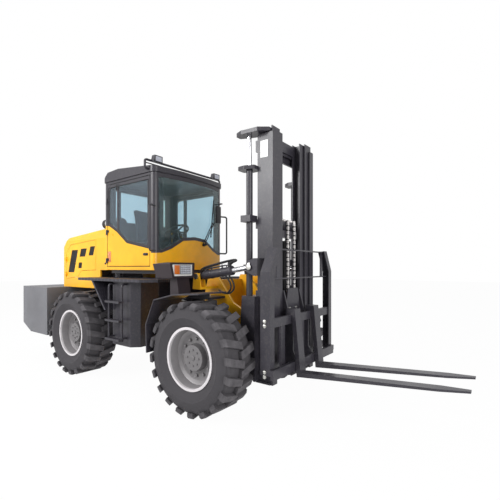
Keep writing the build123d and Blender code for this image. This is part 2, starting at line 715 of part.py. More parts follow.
def lift_rods():
    """The bright rods of the lift cylinders, under the head brackets of the middle stage."""
    return [rod((LIFT_CYL_X, side * LIFT_CYL_Y, LIFT_ROD_LOW_Z),
                (LIFT_CYL_X, side * LIFT_CYL_Y, horn_low_z() - SEAT_GAP), LIFT_ROD_R)
            for _, side in SIDES]


def inner_mast():
    """The inner stage with its ties and the foot of the free lift cylinder."""
    top, rear = STAGES["inner"]["top"], rear_face("inner")
    mast = Part() + rails("inner", MAST_LOW_Z + 60)
    mast += tie("inner", 210, (420, 560)) + tie("inner", 210, INNER_TIE_Z) + tie("inner", 210,
                                                                                 (top - 140, top - 20))
    return mast + block((rear, rear + 90), (-120, 120), (420, FREE_FOOT_Z))


# Free lift cylinder, crosshead and leaf chains
FREE_CYL_X = 598.0
FREE_CYL_R = 36.0
FREE_ROD_R = 24.0
FREE_FOOT_Z = 444.0
FREE_HEAD_Z = 1800.0
CHAIN_YS = (-72.0, 72.0)
CHAIN_T = 14.0
CHAIN_HALF = 13.0
CHAIN_LOW_Z = 1100.0
SHEAVE_X = 606.0
SHEAVE_Z = 2030.0
SHEAVE_R = 40.0
CHAIN_X = SHEAVE_X + SHEAVE_R
INNER_TIE_Z = (1250.0, 1330.0)


def free_lift_barrel():
    """The free lift cylinder on the foot of the inner stage."""
    barrel = rod((FREE_CYL_X, 0, FREE_FOOT_Z + SEAT_GAP), (FREE_CYL_X, 0, FREE_HEAD_Z), FREE_CYL_R)
    barrel += rod((FREE_CYL_X, 0, FREE_HEAD_Z - 40), (FREE_CYL_X, 0, FREE_HEAD_Z), FREE_CYL_R + 6)
    return barrel - rod((FREE_CYL_X, 0, 900), (FREE_CYL_X, 0, FREE_HEAD_Z + BITE), FREE_ROD_R + SHAFT_GAP)


def crosshead():
    """The rod and head that lift two chain sheaves, with the sheaves."""
    low = SHEAVE_Z - 150
    head = rod((FREE_CYL_X, 0, 940), (FREE_CYL_X, 0, low + 10), FREE_ROD_R)
    head += block((567, 636), (-158, 158), (low, low + 80))
    for y in CHAIN_YS:
        for edge in (-22, 16):
            head += side_plate([(578, low + 70), (578, SHEAVE_Z + 40), (634, SHEAVE_Z + 40),
                                (634, low + 70)], (y + edge, y + edge + 6), radius=8)
        head += rod((SHEAVE_X, y - 24, SHEAVE_Z), (SHEAVE_X, y + 24, SHEAVE_Z), 10)
        head += rod((SHEAVE_X, y - CHAIN_HALF, SHEAVE_Z), (SHEAVE_X, y + CHAIN_HALF, SHEAVE_Z),
                    SHEAVE_R - SEAT_GAP)
    return head


def chains():
    """Two leaf chains over the sheaves, before the free lift cylinder and tied to the inner stage."""
    result = []
    for y in CHAIN_YS:
        ys = (y - CHAIN_HALF, y + CHAIN_HALF)
        strand = block((CHAIN_X, CHAIN_X + CHAIN_T), ys, (CHAIN_LOW_Z, SHEAVE_Z))
        strand += block((SHEAVE_X - SHEAVE_R - CHAIN_T, SHEAVE_X - SHEAVE_R), ys,
                        (INNER_TIE_Z[1] + SEAT_GAP, SHEAVE_Z))
        arc = rod((SHEAVE_X, y - CHAIN_HALF, SHEAVE_Z), (SHEAVE_X, y + CHAIN_HALF, SHEAVE_Z),
                  SHEAVE_R + CHAIN_T)
        arc -= rod((SHEAVE_X, y - 2 * CHAIN_HALF, SHEAVE_Z), (SHEAVE_X, y + 2 * CHAIN_HALF, SHEAVE_Z),
                   SHEAVE_R)
        reach = 2 * SHEAVE_R + CHAIN_T
        strand += arc - block((SHEAVE_X - reach, SHEAVE_X + reach),
                              (y - 2 * CHAIN_HALF, y + 2 * CHAIN_HALF), (SHEAVE_Z - reach, SHEAVE_Z))
        result.append(strand)
    return result


def carriage():
    """Side plates with rollers in the inner stage, and the two bars that hold the forks."""
    low_x, bar_front = bar_low_front(), BAR_REAR_X + BAR_T
    body = block((BAR_REAR_X, bar_front), (-BAR_HALF, BAR_HALF),
                 (BAR_HIGH_Z - BAR_HIGH_H / 2, BAR_HIGH_Z + BAR_HIGH_H / 2))
    body += block((low_x - BAR_T, low_x), (-BAR_HALF, BAR_HALF),
                  (BAR_LOW_Z - BAR_LOW_H / 2, BAR_LOW_Z + BAR_LOW_H / 2))
    roller = STAGES["inner"]["deep"] - STAGES["inner"]["flange_t"] - SEAT_GAP
    rear = MAST_X - 35
    outline = [(rear, 470), (low_x - BAR_T + 4, 470), (low_x - BAR_T + 4, BAR_LOW_Z + 40),
               (BAR_REAR_X + 4, 640),
               (BAR_REAR_X + 4, BAR_HIGH_Z), (BAR_REAR_X - 40, BAR_HIGH_Z + 4), (MAST_X + 60, 1290),
               (rear, 1290)]
    for _, side in SIDES:
        body += side_plate(outline, on_side(side, 165, 187))
        for z in (540, 1220):
            body += rod((MAST_X, side * 180, z), (MAST_X, side * 252, z), roller)
    # Anchor of the chains: a tapered plate in front of them on a shelf
    anchor = CHAIN_X + CHAIN_T + RUN_GAP
    low = BAR_HIGH_Z - 40
    body += front_plate([(-166, low), (166, low), (166, low + 80), (110, 1310), (-110, 1310),
                         (-166, low + 80)], (anchor, anchor + ANCHOR_T))
    body += block((anchor, BAR_REAR_X + BITE), (-166, 166), (low, low + TIE_T))
    for y in (-420, 0, 420):
        body += block((BAR_REAR_X, BAR_REAR_X + 20), (y - 40, y + 40), (BAR_LOW_Z, BAR_HIGH_Z))
        body += block((BAR_REAR_X, low_x - BAR_T + BITE), (y - 40, y + 40),
                      (BAR_LOW_Z - 20, BAR_LOW_Z + 20))
    return body


def shank_back(z):
    """The X of the back of the leaning fork shanks at a height."""
    top = BAR_HIGH_Z + BAR_HIGH_H / 2
    return BAR_REAR_X + BAR_T + SEAT_GAP + (top - z) * math.tan(math.radians(FORK_TILT))


def bar_low_front():
    """The front face of the lower bar, set forward so that the leaning fork shanks rest on it."""
    return shank_back(BAR_LOW_Z + BAR_LOW_H / 2) - SEAT_GAP


def load_guard():
    """Angle uprights on the ends of the carriage bars, leaning in at the top, and thin bars between them."""
    knee_in = GUARD_KNEE_Z - GUARD_T / 2
    guard = Part()
    for _, side in SIDES:
        out, top = side * (BAR_HALF + GUARD_T), side * (GUARD_TOP_Y + GUARD_T)
        # Side plate, then the flange along its front edge: y and x of the inner edge, height of its foot
        for edge, top_edge, foot, xs in ((BAR_HALF, GUARD_TOP_Y, GUARD_LOW_Z,
                                          (GUARD_REAR_X, GUARD_FRONT_X)),
                                         (BAR_HALF - GUARD_FLANGE, GUARD_TOP_Y - GUARD_FLANGE,
                                          GUARD_FLANGE_LOW_Z,
                                          (GUARD_FRONT_X - GUARD_T, GUARD_FRONT_X))):
            guard += front_plate([(side * edge, foot), (out, foot), (out, GUARD_KNEE_Z), (top, GUARD_TOP_Z),
                                  (side * top_edge, GUARD_TOP_Z), (side * edge, knee_in)], xs)
        # Foot that reaches the end of the lower bar
        guard += block((GUARD_FRONT_X - BITE, bar_low_front()), on_side(side, BAR_HALF, BAR_HALF + GUARD_T),
                       (GUARD_LOW_Z, BAR_LOW_Z + BAR_LOW_H / 2))
    for z, reach in ((GUARD_TOP_Z - GUARD_ROD_DROP, GUARD_TOP_Y + GUARD_ROD_DROP),
                     (GUARD_ROD_Z, BAR_HALF + 4)):
        guard += rod((GUARD_ROD_X, -reach, z), (GUARD_ROD_X, reach, z), GUARD_ROD_R)
    for _, side in SIDES:
        guard += block((GUARD_ROD_X - RUN_GAP, GUARD_ROD_X + RUN_GAP),
                       on_side(side, GUARD_TOP_Y - 90, GUARD_TOP_Y - 30),
                       (GUARD_ROD_Z, GUARD_TOP_Z - GUARD_ROD_DROP))
    return guard


def fork(y):
    """One fork leaning back with its heel against the lower bar and its hook over the upper."""
    top = BAR_HIGH_Z + BAR_HIGH_H / 2
    head = top + FORK_HOOK_H
    ys = (y - FORK_WIDTH / 2, y + FORK_WIDTH / 2)
    rise = math.sin(math.radians(FORK_TILT)) * FORK_LENGTH
    heel_x, head_x = shank_back(FORK_SOLE_Z), shank_back(head)
    taper, tip = FORK_POINT
    blade = [(head_x, head), (head_x + FORK_T, head), (heel_x + FORK_T, FORK_SOLE_Z + FORK_T + 6),
             (FORK_REACH_X, FORK_SOLE_Z + rise + FORK_TIP_T), (FORK_REACH_X, FORK_SOLE_Z + rise),
             (heel_x, FORK_SOLE_Z)]
    shape = side_plate(blade, ys)
    shape &= flat_plate([(0, ys[0]), (FORK_REACH_X - taper, ys[0]), (FORK_REACH_X, y - tip),
                         (FORK_REACH_X, y + tip),
                         (FORK_REACH_X - taper, ys[1]), (0, ys[1])], (0, 2 * head))
    rear = BAR_REAR_X - FORK_HOOK_T
    shape += block((rear, head_x + 10), ys, (top + SEAT_GAP, head))
    shape += block((rear, BAR_REAR_X - SEAT_GAP), ys, (top - FORK_HOOK_H / 2, top + BITE))
    return shape


# Reach of the forks' tips, and the shift that puts the origin under the middle of the whole part
FORK_REACH_X = shank_back(FORK_SOLE_Z) + math.cos(math.radians(FORK_TILT)) * FORK_LENGTH
ORIGIN_X = -(FORK_REACH_X + WEIGHT_REAR_X) / 2


# Rear half

def rear_frame():
    """Two beams joined by cross plates, the pivot lugs at the front and the cab supports."""
    weight = WEIGHT_FRONT_X + SEAT_GAP
    post_top = DECK_TOP_Z - DECK_T
    outline = [(FRAME_FRONT_X, FRAME_LOW_Z), (FRAME_FRONT_X, FRAME_NECK_Z), (-1500, FRAME_NECK_Z),
               (CAB_POST_XS[0], BEAM_TOP_Z),
               (weight, BEAM_TOP_Z), (weight, BEAM_LOW_Z), (-WHEELBASE + 200, BEAM_LOW_Z),
               (KICK_X, FRAME_LOW_Z + 40),
               (CAB_POST_XS[0], FRAME_LOW_Z)]
    frame = Part()
    for _, side in SIDES:
        beam = side_plate(outline, on_side(side, BEAM_IN, BEAM_IN + BEAM_T))
        beam -= block((FRAME_FRONT_X - 190, FRAME_FRONT_X + BITE),
                      on_side(side, BEAM_IN - BITE, BEAM_IN + BEAM_T + BITE), STEER_WINDOW)
        beam += axle_pads(-WHEELBASE, side, BEAM_IN, BEAM_LOW_Z + 10)
        for x in CAB_POST_XS:
            beam += block((x, x + CAB_POST_W), on_side(side, BEAM_IN, BEAM_IN + BEAM_T),
                          (BEAM_TOP_Z - CAB_POST_W, post_top))
        # Arm that carries the tank
        beam += block((KICK_X, -1400), on_side(side, BEAM_IN + BEAM_T - BITE, TANK_IN - SEAT_GAP),
                      (900, 940))
        frame += beam
    # Cross plates between the beams: rear face, lower edge, upper edge
    for x, low, high in ((FRAME_FRONT_X - BEAM_T, FRAME_LOW_Z, FRAME_NECK_Z),
                         (KICK_X, FRAME_LOW_Z + CAB_POST_W, BEAM_TOP_Z),
                         (-2900, BEAM_LOW_Z + 10, 890), (weight, BEAM_LOW_Z, BEAM_TOP_Z),
                         (CAB_POST_XS[0], BEAM_TOP_Z - CAB_POST_W, post_top)):
        frame += block((x, x + BEAM_T), (-BEAM_IN - BITE, BEAM_IN + BITE), (low, high))
    for _, side in SIDES:
        frame -= block((FRAME_FRONT_X - BEAM_T - BITE, FRAME_FRONT_X + BITE),
                       on_side(side, 100, BEAM_IN + BEAM_T), STEER_WINDOW)
        frame += barrel_ears(side)
    return frame + pivot_plates()


def barrel_ears(side):
    """The two ears on a cross plate between which a steering cylinder's barrel is pinned."""
    ears = Part()
    root, y = KICK_X + BEAM_T - BITE, side * STEER_BASE_Y
    for lift in (-1, 1):
        face = STEER_Z + lift * (STEER_EYE_T / 2 + RUN_GAP + BITE)
        ears += flat_plate([(root, y - side * 50), (root, y + side * 50), (STEER_BASE_X, y + side * 34),
                            (STEER_BASE_X + 34, y),
                            (STEER_BASE_X, y - side * 34)], sorted((face, face + lift * STEER_EAR_T)))
    return ears - rod((STEER_BASE_X, y, STEER_Z - STEER_EYE_T - STEER_EAR_T),
                      (STEER_BASE_X, y, STEER_Z + STEER_EYE_T + STEER_EAR_T),
                      STEER_PIN_R + SHAFT_GAP)


def pivot_plates():
    """The plates of the rear frame above and below each pivot lug of the front frame."""
    plates = Part()
    half, root = PIVOT_LUG_R, FRAME_FRONT_X - BITE
    for z in (PIVOT_LOW_Z, PIVOT_HIGH_Z):
        for lift in (-1, 1):
            face = z + lift * (LUG_T / 2 + RUN_GAP)
            zs = sorted((face, face + lift * LUG_PLATE_T))
            lug = flat_plate([(root, -half - CAB_POST_W), (root, half + CAB_POST_W), (PIVOT_X, half),
                              (PIVOT_X, -half)], zs)
            plates += lug + Pos(PIVOT_X, 0, sum(zs) / 2) * Cylinder(half, LUG_PLATE_T)
        plates -= Pos(PIVOT_X, 0, z) * Cylinder(PIVOT_PIN_R, 6 * LUG_T)
    return plates


def pivot_pins():
    """The upright pins of the steering pivot and the steering barrels, fixed in the rear frame."""
    # Pins: x, y, middle z, reach up and down, radius, head radius
    reach = LUG_T / 2 + RUN_GAP + LUG_PLATE_T
    table = [(PIVOT_X, 0, z, reach, PIVOT_PIN_R, PIVOT_PIN_R + 22) for z in (PIVOT_LOW_Z, PIVOT_HIGH_Z)]
    reach = STEER_EYE_T / 2 + RUN_GAP + BITE + STEER_EAR_T
    table += [(STEER_BASE_X, side * STEER_BASE_Y, STEER_Z, reach, STEER_PIN_R,
               STEER_PIN_R + CAP_T) for _, side in SIDES]
    return [rod((x, y, z - half), (x, y, z + half), radius) + rod((x, y, z + half),
                                                                  (x, y, z + half + 2 * RUN_GAP), head)
            for x, y, z, half, radius, head in table]


def counterweight():
    """The cast weight with rounded shoulders, a tow slot and its pin hole."""
    rear = WEIGHT_REAR_X
    body = side_plate([(WEIGHT_FRONT_X, WEIGHT_TOP_Z), (rear + 60, WEIGHT_TOP_Z),
                       (rear, WEIGHT_TOP_Z - 90), (rear, WEIGHT_LOW_Z + 180),
                       (rear + 410, WEIGHT_LOW_Z), (WEIGHT_FRONT_X, WEIGHT_LOW_Z)],
                      (-WEIGHT_HALF, WEIGHT_HALF))
    body &= flat_plate([(WEIGHT_FRONT_X, -WEIGHT_HALF), (rear, -WEIGHT_HALF), (rear, WEIGHT_HALF),
                        (WEIGHT_FRONT_X, WEIGHT_HALF)],
                       (0, 2 * WEIGHT_TOP_Z), radius=[BITE, WEIGHT_CORNER_R, WEIGHT_CORNER_R, BITE])
    body -= block((rear - BITE, rear + TOW_SLOT_DEEP), *TOW_SLOT)
    body -= rod((TOW_X, 0, TOW_LOW_Z), (TOW_X, 0, WEIGHT_TOP_Z + BITE), TOW_R)
    return body


def engine():
    """The engine as one block on two bearers across the beams."""
    unit = block(ENGINE_XS, (-ENGINE_HALF, ENGINE_HALF), ENGINE_ZS)
    for x in BEARER_XS:
        unit += block((x, x + BEARER_W), (-BEAM_IN - BEAM_T, BEAM_IN + BEAM_T),
                      (BEAM_TOP_Z + SEAT_GAP, BEAM_TOP_Z + BEARER_W / 2))
    return unit


def hood_solid(inset):
    """The hood's outer form, or the same form set in by a wall."""
    reach = HOOD_HALF - inset
    low = WEIGHT_TOP_Z + SEAT_GAP
    profile = [(HOOD_REAR_X + inset, low), (HOOD_REAR_X + inset, HOOD_SHOULDER_Z - inset / 2),
               (HOOD_REAR_X + HOOD_SLOPE + inset / 2, HOOD_REAR_Z - inset),
               (HOOD_FRONT_X - inset, HOOD_FRONT_Z - inset),
               (HOOD_FRONT_X - inset, HOOD_STEP_Z), (HOOD_STEP_X, HOOD_STEP_Z), (HOOD_STEP_X, low)]
    body = side_plate(profile, (-reach, reach), radius=[0, 60, 90, 0, 0, 0, 0])
    top = 2 * HOOD_FRONT_Z - HOOD_TURN_Z
    lean = reach - HOOD_LEAN
    body &= front_plate([(-reach, 0), (-reach, HOOD_TURN_Z), (-lean, top), (lean, top),
                         (reach, HOOD_TURN_Z), (reach, 0)],
                        (HOOD_REAR_X - HOOD_WALL, HOOD_FRONT_X + HOOD_WALL))
    return body


def hood():
    """The engine hood, hollow, with openings for its side doors and the rear grille."""
    inner = HOOD_HALF - HOOD_WALL
    shell = hood_solid(0) - hood_solid(HOOD_WALL)
    shell -= block((HOOD_REAR_X + HOOD_WALL, HOOD_STEP_X - HOOD_WALL), (-inner, inner),
                   (WEIGHT_TOP_Z, HOOD_FLOOR_Z))
    for _, side in SIDES:
        shell -= side_plate(flap_outline(0), on_side(side, inner - HOOD_WALL, HOOD_HALF + RUN_GAP))
    shell -= block((HOOD_REAR_X - RUN_GAP, HOOD_REAR_X + 2 * HOOD_WALL), (-GRILLE_HALF, GRILLE_HALF),
                   GRILLE_ZS)
    return [shell] + [hinge(FLAP_REAR_X + DOOR_GAP / 2, side, HOOD_HALF, z)[1] for _,
                      side in SIDES for z in HOOD_HINGES]


def grille():
    """The radiator grille: a frame with level bars, in the hood's rear wall."""
    rear, front = HOOD_REAR_X + 2, HOOD_REAR_X + HOOD_WALL
    half, low, high = GRILLE_HALF - SEAT_GAP, GRILLE_ZS[0] + SEAT_GAP, GRILLE_ZS[1] - SEAT_GAP
    inner = half - GRILLE_BORDER
    frame = block((rear, front), (-half, half), (low, high))
    frame -= block((rear - BITE, front + BITE), (-inner, inner),
                   (low + GRILLE_BORDER, high - GRILLE_BORDER))
    pitch = (high - low - GRILLE_BORDER) / GRILLE_BARS
    for count in range(1, GRILLE_BARS):
        z = low + GRILLE_BORDER / 2 + count * pitch
        frame += block((rear + 4, front - 4), (-inner - BITE, inner + BITE),
                       (z - GRILLE_BAR_H / 2, z + GRILLE_BAR_H / 2))
    return frame


def flap_outline(inset):
    """The side door of the hood as (x, z) points, set in by a gap."""
    rear, front, low = FLAP_REAR_X + inset, FLAP_FRONT_X - inset, FLAP_LOW_Z + inset
    return [(rear, low), (rear, FLAP_HIGH_Z - 130), (rear + 145, FLAP_HIGH_Z - inset),
            (front, FLAP_HIGH_Z + 50 - inset),
            (front, low + 150), (FLAP_REAR_X + 500, low + 140), (FLAP_REAR_X + 365, low + 36)]


HOOD_HINGES = (1430.0, 1680.0)
CAB_HINGES = (1640.0, 2050.0, 2500.0)


# Vents in the hood's side doors: x of the lower rear corner, z, width, height, slant
VENTS = ((-3341, 1462, 200, 370, 123), (-2975, 1718, 180, 130, 52), (-2692, 1732, 138, 142, 54),
         (-3012, 1530, 108, 95, 18))
VENT_DEEP = 8.0


def hood_door(side):
    """A hood door with its vents, hinged along its rear edge."""
    door = side_plate(flap_outline(DOOR_GAP), on_side(side, HOOD_HALF - HOOD_WALL, HOOD_HALF))
    for x, z, width, height, slant in VENTS:
        door -= side_plate([(x, z), (x + width, z), (x + width + slant, z + height),
                            (x + slant, z + height)],
                           on_side(side, HOOD_HALF - VENT_DEEP, HOOD_HALF + RUN_GAP))
    return [door] + [hinge(FLAP_REAR_X + DOOR_GAP / 2, side, HOOD_HALF, z)[0] for z in HOOD_HINGES]


# Air cleaner: middle line, its ends and those of its snout, and the saddles under it
CLEANER_Y = -180.0
CLEANER_Z = 2275.0
CLEANER_XS = (-2850.0, -2400.0, -2340.0)
CLEANER_R = 78.0
SNOUT_R = 56.0
SADDLE_XS = (-2760.0, -2500.0)
SADDLE_W = 50.0


def air_cleaner():
    """The air cleaner lying on the hood behind the cab, on two saddles."""
    rear, shoulder, front = CLEANER_XS
    can = rod((rear, CLEANER_Y, CLEANER_Z), (shoulder, CLEANER_Y, CLEANER_Z), CLEANER_R)
    can += rod((shoulder, CLEANER_Y, CLEANER_Z), (front, CLEANER_Y, CLEANER_Z), SNOUT_R)
    for x in SADDLE_XS:
        foot = block((x, x + SADDLE_W), (CLEANER_Y - 70, CLEANER_Y + 70),
                     (HOOD_REAR_Z, CLEANER_Z - CLEANER_R / 2))
        can += foot - hood_solid(-SEAT_GAP)
    return can


def decks():
    """The platforms beside the cab with the mudguards ahead of the rear wheels."""
    result = []
    low, edge, walk_in = DECK_TOP_Z - DECK_T, HOOD_HALF + 20, 365
    # Platform: x, distance from the middle. Mudguard: x, z
    outline = ((DECK_REAR_X, edge), (DECK_REAR_X, DECK_HALF), (DECK_FRONT_X - 150, DECK_HALF),
               (DECK_FRONT_X, DECK_HALF - 150),
               (DECK_FRONT_X, walk_in), (-2100, walk_in), (-2100, edge))
    guard = [(-1940, low + BITE), (-1905, low + BITE), (TANK_REAR_X, 985), (TANK_REAR_X - 35, 985)]
    for _, side in SIDES:
        plate = flat_plate([(x, side * y) for x, y in outline], (low, DECK_TOP_Z))
        plate += block((-2080, -1640), on_side(side, BEAM_IN, walk_in + BITE), (low, DECK_TOP_Z))
        plate += side_plate(guard, on_side(side, edge, DECK_HALF))
        result.append(plate)
    return result


def side_tanks():
    """The fuel tank and the oil tank under the decks, each with a cut front corner."""
    cut = 90
    outline = ((TANK_REAR_X, TANK_IN), (TANK_REAR_X, TANK_OUT), (TANK_FRONT_X - cut, TANK_OUT),
               (TANK_FRONT_X, TANK_OUT - cut),
               (TANK_FRONT_X, TANK_IN))
    return [flat_plate([(x, side * y) for x, y in outline],
                       (TANK_LOW_Z, DECK_TOP_Z - DECK_T - SEAT_GAP), radius=CAP_T)
            for _, side in SIDES]


# Ladder: x of its rails, their distance from the middle, heights of the treads and of the arms
LADDER_XS = (-1560.0, -1270.0)
LADDER_Y = 920.0
LADDER_R = 14.0
TREAD_ZS = (610.0, 850.0, 1090.0)
TREAD_YS = (905.0, 975.0)
TREAD_T = 26.0
LADDER_ARMS = (640.0, 1330.0)


def ladders():
    """Two bent rails with three steps on each side, fixed to the tank."""
    result = []
    low_arm, high_arm = LADDER_ARMS
    for _, side in SIDES:
        y, wall = side * LADDER_Y, side * (TANK_OUT + SEAT_GAP)
        ladder = Part()
        for x in LADDER_XS:
            ladder += tube_path([(x, y, low_arm - 40), (x, y, high_arm), (x, wall, high_arm)], LADDER_R, 40)
            ladder += rod((x, y, low_arm), (x, wall, low_arm), LADDER_R - 2)
        for z in TREAD_ZS:
            ladder += block((LADDER_XS[0] - 10, LADDER_XS[1] + 10), on_side(side, *TREAD_YS),
                            (z, z + TREAD_T))
        result.append(ladder)
    return result


# Door hinges: knuckle radius, pin radius, knuckle height, leaf width
HINGE_R = 13.0
HINGE_PIN_R = 6.0
HINGE_H = 34.0
HINGE_LEAF = 40.0


def hinge(x, side, face, z):
    """One door hinge outside a face: the part on the door, then the part with the pin on the body."""
    y = side * (face + HINGE_R)
    leaf = on_side(side, face + SEAT_GAP, face + HINGE_PIN_R)
    ring = rod((x, y, z), (x, y, z + HINGE_H), HINGE_R) + block((x, x + HINGE_LEAF), leaf, (z, z + HINGE_H))
    ring = ring - rod((x, y, z - BITE), (x, y, z + HINGE_H + BITE), HINGE_PIN_R + SHAFT_GAP)
    low, high = z - HINGE_H - SEAT_GAP, z - SEAT_GAP
    post = rod((x, y, low), (x, y, high), HINGE_R) + block((x - HINGE_LEAF, x), leaf, (low, high))
    return ring, post + rod((x, y, high - BITE), (x, y, z + HINGE_H + HINGE_PIN_R), HINGE_PIN_R)


# Cab

def cab_plan(inset):
    """The cab's outline seen from above, with a bowed front, set in by a wall."""
    reach, corner, front = CAB_HALF - inset, CAB_CORNER_X - inset, CAB_FRONT_X - inset
    rear = CAB_REAR_X + inset
    lines = Polyline((corner, -reach), (rear, -reach), (rear, reach),
                     (corner, reach)) + ThreePointArc((corner, reach), (front, 0), (corner, -reach))
    face = make_face(lines)
    return fillet(face.vertices(), CAB_CORNER_R - inset)


def cab_form(inset, low, high):
    """The cab's upright form between two heights."""
    return Part() + Pos(0, 0, low) * extrude(cab_plan(inset), high - low)


# Belt line of the cab: (x, z) along a side, then (y, z) over one half of the front
SIDE_BELT = ((CAB_REAR_X - 50, 2160), (-1990, 2140), (-1800, 2045), (-1570, 1880), (-1040, 1780))
FRONT_BELT = ((CAB_HALF + 50, 1730), (540, 1735), (400, 1790), (210, 1905), (0, 1925))
SCREEN_HALF = CAB_HALF - CAB_CORNER_R - 6
SCREEN_TOP_Z = 2720.0
REAR_WINDOW = ((-480.0, 480.0), (2235.0, 2690.0))
# Roof cap seen from the side: x, z, and the rounding at each corner
ROOF_RISE = ((CAB_REAR_X - 20, 2800), (CAB_REAR_X + 120, 2915), (-1750, 2930), (CAB_FRONT_X + 20, 2845))
DIVIDER_XS = (-1800.0, -1760.0)
PANE_SINK = 3.0


def below_belt():
    """All that lies under the belt line."""
    out, low, corner_x = CAB_HALF + 50, CAB_LOW_Z - 110, SIDE_BELT[-1][0]
    side = [(CAB_REAR_X - 50, low)] + list(SIDE_BELT) + [(corner_x, low)]
    front = [(out, low)] + list(FRONT_BELT) + [(-y, z) for y,
                                               z in reversed(FRONT_BELT[:-1])] + [(-out, low)]
    return side_plate(side, (-out, out)) + front_plate(front, (corner_x - BITE, CAB_FRONT_X + 50))


def door_outline(inset):
    """The side door as (x, z) points, set in by a gap or a rail."""
    rear, front = DOOR_REAR_X + inset, DOOR_FRONT_X - inset
    low, high = DOOR_LOW_Z + inset, DOOR_HIGH_Z - inset
    return [(rear, low), (rear, DOOR_HIGH_Z - 90), (DOOR_REAR_X + 90, high), (front, high), (front, low)]


def cab_pieces():
    """The painted lower body, the dark upper frame and the fixed glass."""
    floor = CAB_LOW_Z + CAB_FLOOR_T
    outer = cab_form(0, CAB_LOW_Z, CAB_ROOF_Z)
    shell = outer - cab_form(CAB_WALL, floor, CAB_ROOF_Z + BITE)
    skin = outer - cab_form(GLASS_T, floor, CAB_ROOF_Z + BITE)
    belt = below_belt()
    for _, side in SIDES:
        shell -= side_plate(door_outline(0), on_side(side, CAB_HALF - 2 * CAB_WALL, CAB_HALF + RUN_GAP))
    body = shell & belt
    frame = shell - belt
    # Windscreen above the belt by a rail, and the rear window
    sill = [(y, z + DOOR_RAIL) for y, z in FRONT_BELT if y < SCREEN_HALF]
    corner = FRONT_BELT[1][1] + DOOR_RAIL
    screen = front_plate([(SCREEN_HALF, corner)] + sill + [(-y, z) for y, z in reversed(sill[:-1])]
                         + [(-SCREEN_HALF, corner), (-SCREEN_HALF, SCREEN_TOP_Z),
                            (SCREEN_HALF, SCREEN_TOP_Z)],
                         (CAB_CORNER_X - 10, CAB_FRONT_X + 50))
    rear = block((CAB_REAR_X - 10, CAB_REAR_X + 2 * CAB_WALL), *REAR_WINDOW)
    glass = []
    for opening in (screen, rear):
        frame -= opening
        glass.append(skin & opening)
    return body, frame, glass


def cab_roof():
    """The roof cap with its sloping top and rounded rear."""
    lid = cab_form(-ROOF_LIP, CAB_ROOF_Z + SEAT_GAP, CAB_ROOF_Z + 180)
    outline = [(CAB_REAR_X - 20, CAB_ROOF_Z)] + list(ROOF_RISE) + [(CAB_FRONT_X + 30, CAB_ROOF_Z)]
    return lid & side_plate(outline, (-CAB_HALF - 40, CAB_HALF + 40), radius=[0, 40, 60, 0, 25, 0])


def door_pieces(side):
    """A cab door: painted panel, dark frame with its divider, and glass."""
    through = on_side(side, CAB_HALF - 2 * CAB_WALL, CAB_HALF + RUN_GAP)
    whole = side_plate(door_outline(DOOR_GAP), on_side(side, CAB_HALF - CAB_WALL, CAB_HALF))
    belt = below_belt()
    light = side_plate(door_outline(DOOR_GAP + DOOR_RAIL), through)
    light -= Pos(0, 0, DOOR_RAIL) * belt
    light -= block(DIVIDER_XS, through, (CAB_LOW_Z, CAB_ROOF_Z))
    depth = CAB_HALF - PANE_SINK
    pane = light & block((CAB_REAR_X, CAB_FRONT_X), on_side(side, depth - GLASS_T, depth),
                         (CAB_LOW_Z, CAB_ROOF_Z))
    return whole & belt, whole - belt - light, pane


def cab_base():
    """The mounts and floor frame between the deck and the cab."""
    low = CAB_LOW_Z - 50
    base = block((CAB_REAR_X + 60, CAB_CORNER_X - 20), (-MOUNT_HALF, MOUNT_HALF),
                 (low, CAB_LOW_Z - SEAT_GAP))
    for _, side in SIDES:
        for x in MOUNT_XS:
            y = side * (MOUNT_HALF - 2 * MOUNT_R)
            base += rod((x, y, DECK_TOP_Z + SEAT_GAP), (x, y, low + BITE), MOUNT_R)
    return base


def seat():
    """The driver's seat: cushion, back and the box under it."""
    floor = CAB_LOW_Z + CAB_FLOOR_T + SEAT_GAP
    low = SEAT_Z + SEAT_GAP
    stand = block((SEAT_REAR_X + 20, SEAT_FRONT_X - 80), (-210, 210), (floor, SEAT_Z))
    cushion = side_plate([(SEAT_REAR_X, low), (SEAT_REAR_X, SEAT_Z + 100), (SEAT_FRONT_X, SEAT_Z + 120),
                          (SEAT_FRONT_X, low)],
                         (-SEAT_HALF, SEAT_HALF), radius=25)
    foot = SEAT_Z + 101
    back = side_plate([(SEAT_REAR_X - 5, foot), (SEAT_REAR_X - 80, SEAT_TOP_Z - 20),
                       (SEAT_REAR_X, SEAT_TOP_Z), (SEAT_REAR_X + 110, foot)],
                      (20 - SEAT_HALF, SEAT_HALF - 20), radius=20)
    return stand, cushion, back


def controls():
    """Dash box, steering column and steering wheel."""
    floor = CAB_LOW_Z + CAB_FLOOR_T + SEAT_GAP
    dash = side_plate([(-1120, floor), (-1120, 1760), (-1200, 1830), (-1080, 1880), (DASH_X, 1800),
                       (DASH_X, floor)], (-300, 300))
    wheel = Vector(*WHEEL_CENTRE)
    along = Vector(*COLUMN_ALONG).normalized()
    dash += rod((-1140, 0, 1800), tuple(wheel - along * (WHEEL_HUB_H / 2 + SEAT_GAP)), COLUMN_R)
    plane = Plane(origin=wheel, z_dir=along)
    spoke = 2 * WHEEL_RING_R - WHEEL_GRIP_R
    wheel = plane * Torus(WHEEL_RING_R, WHEEL_GRIP_R)
    wheel += plane * (Box(spoke, 26, 10) + Box(26, spoke, 10) + Cylinder(45, WHEEL_HUB_H))
    return dash, wheel


